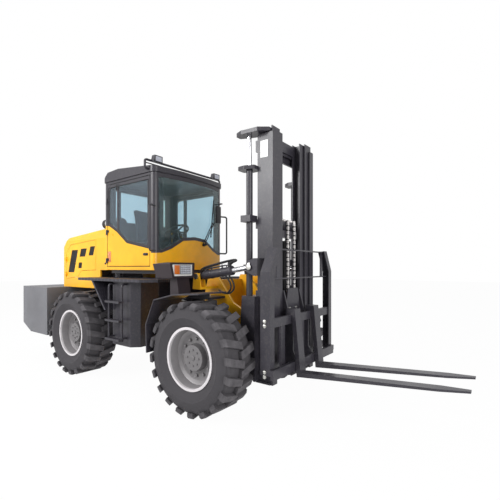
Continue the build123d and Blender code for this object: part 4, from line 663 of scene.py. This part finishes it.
class FORKLIFT_OT_finishes(bpy.types.Operator):
    """Makes every finish and gives each CAD node its own"""

    bl_idname = "forklift.finishes"
    bl_label = "Finishes"

    def execute(self, context):
        colours = context.scene.forklift_colours
        shade = {key: tuple(getattr(colours, key)) for key in ForkliftColours.__annotations__}
        FINISHES.update({
            "yellow enamel": sprayed_enamel("alkyd_enamel_yellow", shade["body_yellow"], 0.34, 0.10, 9),
            "grey enamel": sprayed_enamel("alkyd_enamel_grey", shade["steel_grey"], 0.42, 0.12, 9),
            "cast enamel": cast_enamel("enamel_on_cast_iron", shade["weight_grey"], 7),
            "axle enamel": cast_enamel("enamel_on_axle_casting", shade["axle_grey"], 6),
            "front tyre": tyre_rubber("tyre_rubber_front", shade["rubber"], shade["rubber_tips"], AXLE_X),
            "rear tyre": tyre_rubber("tyre_rubber_rear", shade["rubber"], shade["rubber_tips"],
                                     REAR_AXLE_X),
            "front rim": rim_enamel("rim_enamel_front", shade["rim_silver"], AXLE_X),
            "rear rim": rim_enamel("rim_enamel_rear", shade["rim_silver"], REAR_AXLE_X),
            "chrome": ground_metal("hard_chrome", linear("D8D8DC"), 0.14, 3),
            "zinc": ground_metal("zinc_plate", linear("C9C8C4"), 0.32, 4),
            "chain": ground_metal("oiled_chain_steel", linear("C4C0BE"), 0.42, 3, 0.35),
            "side glass": tinted_glass("float_glass_side", shade["side_glass"], 0.96),
            "screen glass": tinted_glass("float_glass_screen", shade["screen_glass"], 0.96),
            "lamp lens": lamp_lens("acrylic_clear", linear("DDE2E4"), 0.45, 16),
            "amber lens": lamp_lens("acrylic_amber", shade["amber"], 0.92, 8),
            "black plastic": moulded_plastic("abs_black", linear("2A282B"), 0.5, 3),
            "hose rubber": moulded_plastic("nitrile_rubber", linear("1F1F21"), 0.6, 2),
            "gasket rubber": moulded_plastic("epdm_rubber", linear("1A1A1C"), 0.65, 2),
            "tread plate": tread_plate("chequer_plate_enamel", shade["steel_grey"]),
            "seat cloth": woven_cloth("polyester_plain_weave", shade["seat"]),
            "white enamel": sprayed_enamel("plate_enamel_white", linear("E8E8E6"), 0.3, 0.05, 9),
            "mirror": ground_metal("vacuum_aluminised_bowl", linear("E2E0DC"), 0.3, 5, 0.25),
            "cell": ground_metal("lamp_cell_reflector", linear("B4B6C0"), 0.3, 5, 0.3),
            "lamp shell": moulded_plastic("abs_lamp_shell", linear("2B2327"), 0.45, 3),
            "orange": lamp_lens("acrylic_reflector_orange", linear("F08A4A"), 1.0, 5),
        })
        for finish, names in NODE_FINISHES:
            for name in names:
                for slot in NODES[name].material_slots:
                    slot.material = FINISHES[finish]
        return {"FINISHED"}


class FORKLIFT_OT_wheel_nuts(bpy.types.Operator):
    """Adds the nuts and hub bolts of the four wheels"""

    bl_idname = "forklift.wheel_nuts"
    bl_label = "Wheel nuts"

    def execute(self, context):
        sizes = context.scene.forklift_sizes
        for end, x in (("front", 0.0), ("rear", -WHEELBASE)):
            for name, side in SIDES:
                # Rings of nuts: radius, distance from the middle of the machine, count, width, height
                rings = ((sizes.nut_circle, 855.0, 12, sizes.nut_across, 0.018),
                         (0.082, 917.0, 8, sizes.bolt_across, 0.009))
                parts = []
                for radius, y, count, across, height in rings:
                    centre = at(x, side * y, WHEEL_Z)
                    spokes = [Matrix.Rotation(turn * 2 * math.pi / count, 3, "Y") @ Vector((0, 0, radius))
                              for turn in range(count)]
                    places = [facing(centre + spoke, (0, side, 0)) for spoke in spokes]
                    parts.append(repeated("ring", bolt_head(across, height), places))
                plug = bar("plug", at(x, side * 915, WHEEL_Z), at(x, side * 925, WHEEL_Z), 0.03, 6)
                parts.append(rounded(plug, 0.003))
                assembled(f"wheel_nuts_{end}_{name}", parts, f"wheel_{end}_{name}", f"{end} rim")
        return {"FINISHED"}


class FORKLIFT_OT_chain_links(bpy.types.Operator):
    """Lays the plates and pins of the two leaf chains over their cores"""

    bl_idname = "forklift.chain_links"
    bl_label = "Chain links"

    def execute(self, context):
        pitch = context.scene.forklift_sizes.chain_pitch
        # Runs: x of the middle, low end, high end
        runs = ((653.0, 1100.0, 2030.0), (559.0, 1332.0, 2030.0))
        parts = []
        for x, low, high in runs:
            for y in (-72.0, 72.0):
                places = [Matrix.Translation(at(x, y, low) + Vector((0, 0, pitch * (2 * turn + 0.5))))
                          for turn in range(int((high - low) * MM / (2 * pitch)))]
                parts.append(repeated("run", self.links(pitch), places))
        for y in (-72.0, 72.0):
            centre, out = Matrix.Translation(at(606, y, 2030)), Matrix.Translation((0.047, 0, 0))
            places = [centre @ Matrix.Rotation(-turn * math.pi / 3, 4, "Y") @ out for turn in range(3)]
            parts.append(repeated("bend", self.links(pitch * 0.92), places))
        assembled("chain_links", parts, "crosshead", "chain")
        return {"FINISHED"}

    def links(self, pitch):
        """Two pitches of leaf chain: plates laced in turn on two riveted pins."""
        parts = []
        reach = pitch / 2 + 0.0055
        for middle, rows, deep in ((pitch / 2, (-12.4, -4.2, 4.2, 12.4), 0.0092),
                                   (pitch * 1.5, (-8.3, 0.0, 8.3), 0.0074)):
            for y in rows:
                low = Vector((-deep, (y - 1.7) * MM, middle - reach))
                high = Vector((deep, (y + 1.7) * MM, middle + reach))
                parts.append(rounded(slab("plate", low, high), 0.0014, 1))
        for z in (0, pitch):
            pin = bar("pin", Vector((0, -0.0155, z)), Vector((0, 0.0155, z)), 0.0045, 12)
            parts.append(rounded(pin, 0.0008, 1))
        return joined("links", parts)


class FORKLIFT_OT_lamps(bpy.types.Operator):
    """Adds the bezels, lenses and reflectors of the headlamps and the work lamps"""

    bl_idname = "forklift.lamps"
    bl_label = "Lamps"

    def execute(self, context):
        for name, side in SIDES:
            bezel = frame_round("bezel", (-268, -254), (side * 682, side * 972), (1446, 1584), 0, 13)
            cup = block("cup", (-272, -258), (side * 940, side * 966), (1452, 1578), 5)
            floor = block("floor", (-272, -257), (side * 690, side * 960), (1450, 1468), 5)
            assembled(f"headlamp_bezel_{name}", [bezel, cup, floor], "front_chassis", "mirror")
            amber = slab(f"turn_lens_{name}", at(-268, side * 866, 1470), at(-258, side * 938, 1570))
            stepped(amber, 0, 1, 0.012, 0.004)
            fitted(rounded(amber, 0.002), "front_chassis", "amber lens")
            places = [facing(at(-262, side * (704 + 26 * across), 1484 + 24 * up), (1, 0, 0))
                      for across in range(6) for up in range(4)]
            cell = bar("cell", Vector((0, 0, 0)), Vector((0, 0, 0.006)), 0.0105, 12)
            stepped(cell, 2, 1, 0.004, 0.003)
            fitted(repeated(f"headlamp_cells_{name}", cell, places), "front_chassis", "cell")

            y = side * 560
            lens = slab(f"work_lens_{name}", at(-1001, y - 50, 2921), at(-995, y + 50, 2986))
            fitted(stepped(lens, 0, 1, 0.008, 0.003), "rear_chassis", "cell")
            rim = frame_round(f"work_lamp_rim_{name}", (-1003, -991), (y - 60, y + 60), (2912, 2995), 0, 9)
            fitted(rim, "rear_chassis", "black plastic")
        return {"FINISHED"}


class FORKLIFT_OT_mast_fittings(bpy.types.Operator):
    """Adds the pin caps, bolts, blank plate and hoses of the mast and the load guard"""

    bl_idname = "forklift.mast_fittings"
    bl_label = "Mast fittings"

    def execute(self, context):
        sizes = context.scene.forklift_sizes
        for name, side in SIDES:
            cap = bar("cap", at(516, side * 630, 1550), at(516, side * 640, 1550), 0.031, 32)
            stepped(cap, 1, side, 0.007, 0.003)
            keeper = block("keeper", (500, 532), (side * 629, side * 637), (1572, 1592), 2)
            assembled(f"tilt_pin_cap_{name}", [rounded(cap, 0.0015), keeper], "mast_outer", "zinc")
            places = [facing(at(768, side * 712, z), (0, side, 0)) for z in (488, 532, 978, 1022)]
            heads = repeated(f"guard_bolts_{name}", bolt_head(sizes.bolt_across * 1.4, 0.012), places)
            fitted(heads, "carriage", "zinc")
            places = [facing(at(664, side * y, z), (1, 0, 0)) for y in (60, 84) for z in (1074, 1092)]
            heads = repeated(f"chain_anchor_{name}", bolt_head(sizes.bolt_across, 0.014), places)
            fitted(heads, "carriage", "zinc")
            lines = [hose("line", [at(x, side * y, z) for z in (520, 900, 1300, 1700, 1850)], sizes.hose)
                     for x, y in ((560, 118), (574, 43), (602, 59))]
            clips = [frame_round("clip", (548, 572), (side * 106, side * 130), (z, z + 16), 2, 2.2)
                     for z in (760, 1180, 1600)]
            assembled(f"mast_hose_{name}", lines + clips, "mast_inner", "hose rubber")
        plate = block("blank_plate", (545, 640), (-460, -464), (2705, 2885), 1.5)
        fitted(plate, "mast_outer", "white enamel")
        return {"FINISHED"}


class FORKLIFT_OT_hydraulics(bpy.types.Operator):
    """Adds the pipes, fittings and hoses of the tilt cylinders"""

    bl_idname = "forklift.hydraulics"
    bl_label = "Hydraulics"

    def execute(self, context):
        sizes = context.scene.forklift_sizes
        base, tip = at(-250, 0, 1440), at(516, 0, 1550)
        along = (tip - base).normalized()
        above = Vector((-along.z, 0, along.x))
        for name, side in SIDES:
            foot = base + Vector((0, side * 0.575, 0))

            def spot(run, rise, out):
                """A place by the barrel, in metres along it, above its middle line and outward."""
                return foot + along * run + above * rise + Vector((0, side * out, 0))

            way = ((0.13, 0.046), (0.13, 0.066), (0.16, 0.07), (0.42, 0.07), (0.45, 0.066), (0.45, 0.046))
            parts = [hose("pipe", [spot(run, rise, out) for run, rise in way], 0.013)
                     for out in (-0.016, 0.016)]
            for run in (0.2, 0.36):
                clamp = bar("clamp", spot(run, 0, 0), spot(run + 0.022, 0, 0), 0.052, 28)
                pick(clamp, lambda middle, normal: abs(normal.dot(along)) > 0.9)
                bpy.ops.mesh.inset(thickness=0.0055)
                bpy.ops.mesh.bridge_edge_loops()
                leave()
                parts.append(rounded(clamp, 0.0015))
                stud = bar("stud", spot(run + 0.011, 0.045, 0), spot(run + 0.011, 0.085, 0), 0.009, 6)
                parts.append(rounded(stud, 0.001))
            assembled(f"tilt_pipes_{name}", parts, "tilt_barrels", "grey enamel")

            parts = []
            for run, out in ((0.47, -0.02), (0.49, 0.02), (0.11, 0.0)):
                nut = bar("nut", spot(run, 0.04, out), spot(run, 0.082, out), 0.018, 6)
                elbow = bar("elbow", spot(run, 0.075, out), spot(run + 0.035, 0.088, out), 0.014, 12)
                parts += [rounded(nut, 0.002), rounded(elbow, 0.003)]
            for out, reach in ((-0.02, 0.56), (0.02, 0.585)):
                way = ((0.48, 0.085, 1), (reach, 0.094, 1), (reach + 0.012, 0.11, 1), (0.46, 0.112, 1),
                       (0.25, 0.098, 1.4), (0.06, 0.085, 1), (0.02, 0.03, 1))
                points = [spot(run, rise, out * wide) for run, rise, wide in way]
                parts.append(hose("hose", points, sizes.hose))
            assembled(f"tilt_hoses_{name}", parts, "tilt_barrels", "hose rubber")

            loops = []
            for step in (0.0, 0.045):
                points = [spot(0.40 + step, -0.05, -0.01), spot(0.43 + step, -0.075, -0.01),
                          at(235 + step * 1000, side * 560, 1330), at(170 + step * 900, side * 545, 1262),
                          at(60 + step * 500, side * 500, 1248), at(-60, side * 440, 1280)]
                loops.append(hose("loop", points, sizes.hose))
            piece = coated(joined(f"tilt_loops_{name}", loops), "hose rubber")
            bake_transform(piece)
        return {"FINISHED"}


class FORKLIFT_OT_cab_fittings(bpy.types.Operator):
    """Adds the seals, wiper, mirror, reflectors, latches and levers of the cab"""

    bl_idname = "forklift.cab_fittings"
    bl_label = "Cab fittings"

    def execute(self, context):
        gasket = context.scene.forklift_sizes.gasket
        for name, side in SIDES:
            y = side * 650
            strips = (((-2044, -2038), (1556, 2744)), ((-1064, -1058), (1556, 2744)),
                      ((-2044, -1058), (1555, 1561)), ((-2044, -1058), (2739, 2745)))
            seals = [block("seal", xs, (y - side * 6, y + side * 1.5), zs, 1) for xs, zs in strips]
            assembled(f"door_seal_{name}", seals, "rear_chassis", "gasket rubber")
            corners = [at(x, y - side, z) for x, z in GLASS_CORNERS]
            line = [bar("bead", start, end, gasket / 2, 10)
                    for start, end in zip(corners, corners[1:] + corners[:1])]
            assembled(f"door_gasket_{name}", line, f"door_{name}", "gasket rubber")
            reflector = slab(f"reflector_{name}", at(-2022, y, 1622), at(-1950, y + side * 3, 1775))
            fitted(stepped(reflector, 1, side, 0.006, -0.001), f"door_{name}", "orange")
            buffer = bar(f"door_buffer_{name}", at(-2090, y, 1600), at(-2090, y + side * 9, 1600),
                         0.015, 24)
            fitted(rounded(buffer, 0.003), "rear_chassis", "black plastic")
            handle = [block("plate", (-1190, -1100), (y, y + side * 5), (1700, 1735), 3),
                      block("grip", (-1182, -1112), (y + side * 14, y + side * 22), (1706, 1728), 4),
                      block("post", (-1118, -1108), (y, y + side * 20), (1708, 1726), 2)]
            assembled(f"door_handle_{name}", handle, f"door_{name}", "black plastic")
            slots = [block("slot", (x, x + 22), (y, y + side * 3), (2640, 2722), 1.5)
                     for x in (-1824, -1784)]
            assembled(f"door_slots_{name}", slots, f"door_{name}", "gasket rubber")

        # Wiper: two arms from one spindle box to a blade, over the bowed screen
        def over(y, z, rise):
            return at(screen_x(y) + rise, y, z)

        # Bars of the wiper: start, end, radius, sides
        rods = ((over(150, 1880, 22), over(360, 2200, 26), 0.007, 10),
                (over(188, 1880, 22), over(398, 2200, 26), 0.007, 10),
                (over(330, 1990, 20), over(404, 2560, 20), 0.009, 8),
                (over(170, 1870, 2), over(170, 1870, 34), 0.022, 20),
                (over(208, 1876, 2), over(208, 1876, 34), 0.016, 20),
                (over(378, 2200, 8), over(378, 2200, 32), 0.014, 16))
        arms = [rounded(bar("arm", *rod), 0.002, 1) for rod in rods]
        assembled("wiper", arms, "rear_chassis", "gasket rubber")

        bends = ((-1000, 615, 2525), (-950, 618, 2532), (-912, 600, 2530), (-905, 510, 2520),
                 (-905, 500, 2460))
        stem = hose("stem", [at(*bend) for bend in bends], 0.016)
        head = block("head", (-918, -892), (440, 548), (2215, 2475), 12)
        assembled("mirror", [stem, head], "rear_chassis", "black plastic")
        face = slab("mirror_glass", at(-921, 449, 2226), at(-917, 539, 2464))
        fitted(rounded(face, 0.0015), "rear_chassis", "mirror")
        knob = [rounded(bar("knob", at(-1800, -330, low), at(-1800, -330, high), radius, sides), 0.003)
                for low, high, radius, sides in ((2918, 2940, 0.02, 20), (2935, 2990, 0.009, 12))]
        assembled("roof_knob", knob, "rear_chassis", "zinc")

        for name, side in SIDES:
            trim = cut_sheet(f"door_trim_{name}", TRIM_CORNERS, side * 600, 6)
            fitted(trim, f"door_{name}", "black plastic")
        # Inner linings below the windscreen and behind the seat: x, half width, z, edge
        linings = (((-1026, -1006), 560, (1556, 1728), 4), ((-1002, -985), 330, (1728, 1800), 4),
                   ((-990, -972), 190, (1800, 1880), 4), ((-2088, -2080), 590, (1556, 2230), 3))
        dash = [block("trim", xs, (-half, half), zs, edge) for xs, half, zs, edge in linings]
        assembled("cab_trim", dash, "rear_chassis", "black plastic")

        levers = [block("console", (-1560, -1340), (-440, -265), (1560, 1815), 20)]
        for y in (-300, -355, -410):
            knob = rounded(bar("knob", at(-1402, y, 1990), at(-1396, y, 2050), 0.02, 16), 0.008)
            levers += [bar("lever", at(-1420, y, 1800), at(-1400, y, 2010), 0.008, 12), knob]
        assembled("lever_console", levers, "rear_chassis", "black plastic")
        return {"FINISHED"}


class FORKLIFT_OT_seat(bpy.types.Operator):
    """Pads the driver's seat with a cushion and a back of cloth over foam"""

    bl_idname = "forklift.seat"
    bl_label = "Seat"

    def execute(self, context):
        # Pads: name, middle, length, width, height, lean in degrees
        pads = (("cushion", (-1730, 0, 1862), (470, 470, 92), -2.0),
                ("back", (-1975, 0, 2180), (84, 440, 530), -9.0))
        for name, middle, size, lean in pads:
            half = Vector(size) * MM / 2
            pad = rounded(slab(f"seat_{name}_pad", -half, half), 0.03, 4)
            modify(pad, "REMESH", mode="VOXEL", voxel_size=0.006)
            self.inflate(pad)
            pad.rotation_euler = (0, math.radians(lean), 0)
            pad.location = at(*middle)
            settle(pad)
            modify(pad, "SUBSURF", levels=1)
            fitted(pad, "rear_chassis", "seat cloth")
            if name == "cushion":
                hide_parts("seat_cushions")
        return {"FINISHED"}

    def inflate(self, pad, most=0.02):
        """Lets cloth swell under a light pressure, no point further than this from where it began."""
        before = [vertex.co.copy() for vertex in pad.data.vertices]
        take(pad)
        bpy.ops.object.modifier_add(type="CLOTH")
        cloth = pad.modifiers[-1].settings
        cloth.use_pressure = True
        cloth.uniform_pressure_force = 4
        cloth.effector_weights.gravity = 0
        for frame in range(1, 21):
            bpy.context.scene.frame_set(frame)
        bpy.ops.object.modifier_apply(modifier=pad.modifiers[-1].name)
        for vertex, start in zip(pad.data.vertices, before):
            moved = vertex.co - start
            if moved.length > most:
                vertex.co = start + moved.normalized() * most
        bpy.context.scene.frame_set(1)


class FORKLIFT_OT_body_fittings(bpy.types.Operator):
    """Adds vent louvres, tank fittings, bands and bolts to the hood, tanks and frames"""

    bl_idname = "forklift.body_fittings"
    bl_label = "Body fittings"

    def execute(self, context):
        sizes = context.scene.forklift_sizes
        for name, side in SIDES:
            parts = []
            for x, z, wide, tall, slant in VENTS:
                # Painted shade: the black back sheet behind each vent's fins stands for the dark space inside
                # the hood.
                back = slab("back", at(x, side * 573, z), at(x + wide, side * 573.5, z + tall))
                parts.append(leaned(back, (slant * MM, 0, 0)))
                count = round(tall / 24)
                for row in range(count):
                    level = (row + 0.5) * tall / count
                    shift = slant * level / tall
                    low = at(x + shift, side * 573, z + level - 6)
                    high = at(x + wide + shift, side * 579, z + level + 3)
                    parts.append(leaned(slab("fin", low, high), (0, -side * 0.004, 0)))
            assembled(f"hood_louvres_{name}", parts, f"hood_door_{name}", "gasket rubber")

            tank = [bar("filler", at(-1230, side * 760, 1364), at(-1230, side * 760, 1392), 0.042, 28),
                    bar("filler", at(-1170, side * 700, 1364), at(-1170, side * 700, 1384), 0.028, 24)]
            for cap in tank:
                rounded(stepped(cap, 2, 1, 0.01, 0.006), 0.002)
            assembled(f"tank_fillers_{name}", tank, "rear_chassis", "black plastic")
            gauge = [bar("tube", at(-1090, side * 640, 650), at(-1090, side * 640, 860), 0.008, 16)]
            gauge += [block("lug", (-1100, -1082), (side * 626, side * 654), (z, z + 24), 3)
                      for z in (636, 850)]
            assembled(f"sight_tube_{name}", gauge, "rear_chassis", "white enamel")

            places = [facing(at(-190, side * y, z), (1, 0, 0)) for y in (350, 410) for z in (1100, 1180)]
            places += [facing(at(x, side * 425, z), (0, side, 0))
                       for z in (1210, 1160) for x in (-300, -220)]
            heads = repeated(f"frame_bolts_{name}", bolt_head(sizes.bolt_across, 0.01), places)
            fitted(heads, "front_chassis", "zinc")
        bands = [rounded(bar("band", at(x, -180, 2275), at(x + 26, -180, 2275), 0.0805, 40), 0.002)
                 for x in (-2760, -2600, -2440)]
        assembled("cleaner_bands", bands, "rear_chassis", "zinc")
        return {"FINISHED"}


class FORKLIFT_OT_stage(bpy.types.Operator):
    """Adds the floor, the light and the camera"""

    bl_idname = "forklift.stage"
    bl_label = "Stage"

    def execute(self, context):
        scene = context.scene
        sizes = scene.forklift_sizes
        white = (*scene.forklift_colours.backdrop, 1)
        clear()
        bpy.ops.mesh.primitive_plane_add(size=80, location=(0, 0, -0.002))
        floor = bpy.context.object
        floor.name = "studio_floor"
        settle(floor)
        material = bpy.data.materials.new("studio_paper")
        material.use_nodes = True
        tree = material.node_tree
        tree.nodes.clear()
        paper = add_node(tree, "ShaderNodeBsdfDiffuse", {"Color": (*linear("EDEDED"), 1)})
        glow = add_node(tree, "ShaderNodeEmission", {"Color": white, "Strength": 1.0})
        share = worked(tree, "MULTIPLY", self.seen(tree), 0.97)
        layers = {"Fac": share, 1: paper.outputs["BSDF"], 2: glow.outputs["Emission"]}
        mixed = add_node(tree, "ShaderNodeMixShader", None, layers)
        add_node(tree, "ShaderNodeOutputMaterial", None, {"Surface": mixed.outputs["Shader"]})
        floor.data.materials.append(material)

        world = bpy.data.worlds.new("studio")
        scene.world = world
        world.use_nodes = True
        tree = world.node_tree
        tree.nodes.clear()
        soft = add_node(tree, "ShaderNodeBackground", {"Color": (*linear("F4F7FA"), 1), "Strength": 0.42})
        seen = add_node(tree, "ShaderNodeBackground", {"Color": white, "Strength": 1.0})
        layers = {"Fac": self.seen(tree), 1: soft.outputs["Background"], 2: seen.outputs["Background"]}
        mixed = add_node(tree, "ShaderNodeMixShader", None, layers)
        add_node(tree, "ShaderNodeOutputWorld", None, {"Surface": mixed.outputs["Shader"]})

        # Lamps: name, place, aim, width, watts
        lamps = (("key", (-3.5, -9.0, 6.0), (0, 0, 1.2), 5.0, 1080),
                 ("fill", (8.0, -3.0, 3.0), (0, 0, 1.4), 4.0, 330),
                 ("top", (-1.0, 1.0, 9.0), (-1, 0, 0), 6.0, 260))
        for name, place, aim, width, watts in lamps:
            light = bpy.data.lights.new(name, "AREA")
            light.size = width
            light.energy = watts
            lamp = bpy.data.objects.new(name, light)
            scene.collection.objects.link(lamp)
            lamp.location = place
            lamp.rotation_mode = "QUATERNION"
            lamp.rotation_quaternion = (Vector(aim) - Vector(place)).to_track_quat("-Z", "Y")

        camera_data = bpy.data.cameras.new("camera")
        camera_data.sensor_width = 36
        camera_data.lens = sizes.lens * 1000
        camera_data.shift_y = 0.034
        camera_data.clip_end = 200
        camera = bpy.data.objects.new("camera", camera_data)
        scene.collection.objects.link(camera)
        camera.location = (AXLE_X + 2.67, -3.506, sizes.eye_height)
        camera.rotation_mode = "QUATERNION"
        camera.rotation_quaternion = Vector((-0.5964, 0.8027, 0)).to_track_quat("-Z", "Y")
        scene.camera = camera
        scene.view_settings.view_transform = "Standard"
        return {"FINISHED"}

    def seen(self, tree):
        """1 for the rays that show the white background: those of the camera, and of glass and gloss."""
        rays = add_node(tree, "ShaderNodeLightPath").outputs
        through = worked(tree, "MAXIMUM", rays["Is Camera Ray"], rays["Is Transmission Ray"])
        return worked(tree, "MAXIMUM", through, rays["Is Glossy Ray"])


class FORKLIFT_PT_panel(bpy.types.Panel):
    """Lists the steps of the dressing and its settings"""

    bl_idname = "FORKLIFT_PT_panel"
    bl_label = "Forklift"
    bl_space_type = "VIEW_3D"
    bl_region_type = "UI"
    bl_category = "Forklift"

    def draw(self, context):
        layout = self.layout
        for step in STEPS:
            layout.operator(step.bl_idname)
        for group in (context.scene.forklift_sizes, context.scene.forklift_colours):
            for key in group.__annotations__:
                layout.prop(group, key)


STEPS = (FORKLIFT_OT_finishes, FORKLIFT_OT_wheel_nuts, FORKLIFT_OT_chain_links, FORKLIFT_OT_lamps,
         FORKLIFT_OT_mast_fittings, FORKLIFT_OT_hydraulics, FORKLIFT_OT_cab_fittings,
         FORKLIFT_OT_seat, FORKLIFT_OT_body_fittings, FORKLIFT_OT_stage)
CLASSES = (ForkliftColours, ForkliftSizes, *STEPS, FORKLIFT_PT_panel)


def register():
    for item in CLASSES:
        bpy.utils.register_class(item)
    bpy.types.Scene.forklift_colours = bpy.props.PointerProperty(type=ForkliftColours)
    bpy.types.Scene.forklift_sizes = bpy.props.PointerProperty(type=ForkliftSizes)


def unregister():
    del bpy.types.Scene.forklift_sizes
    del bpy.types.Scene.forklift_colours
    for item in reversed(CLASSES):
        bpy.utils.unregister_class(item)


def main():
    """Registers the add-on and runs its steps in order."""
    register()
    for step in STEPS:
        group, name = step.bl_idname.split(".")
        getattr(getattr(bpy.ops, group), name)()


if __name__ == "__main__":
    main()
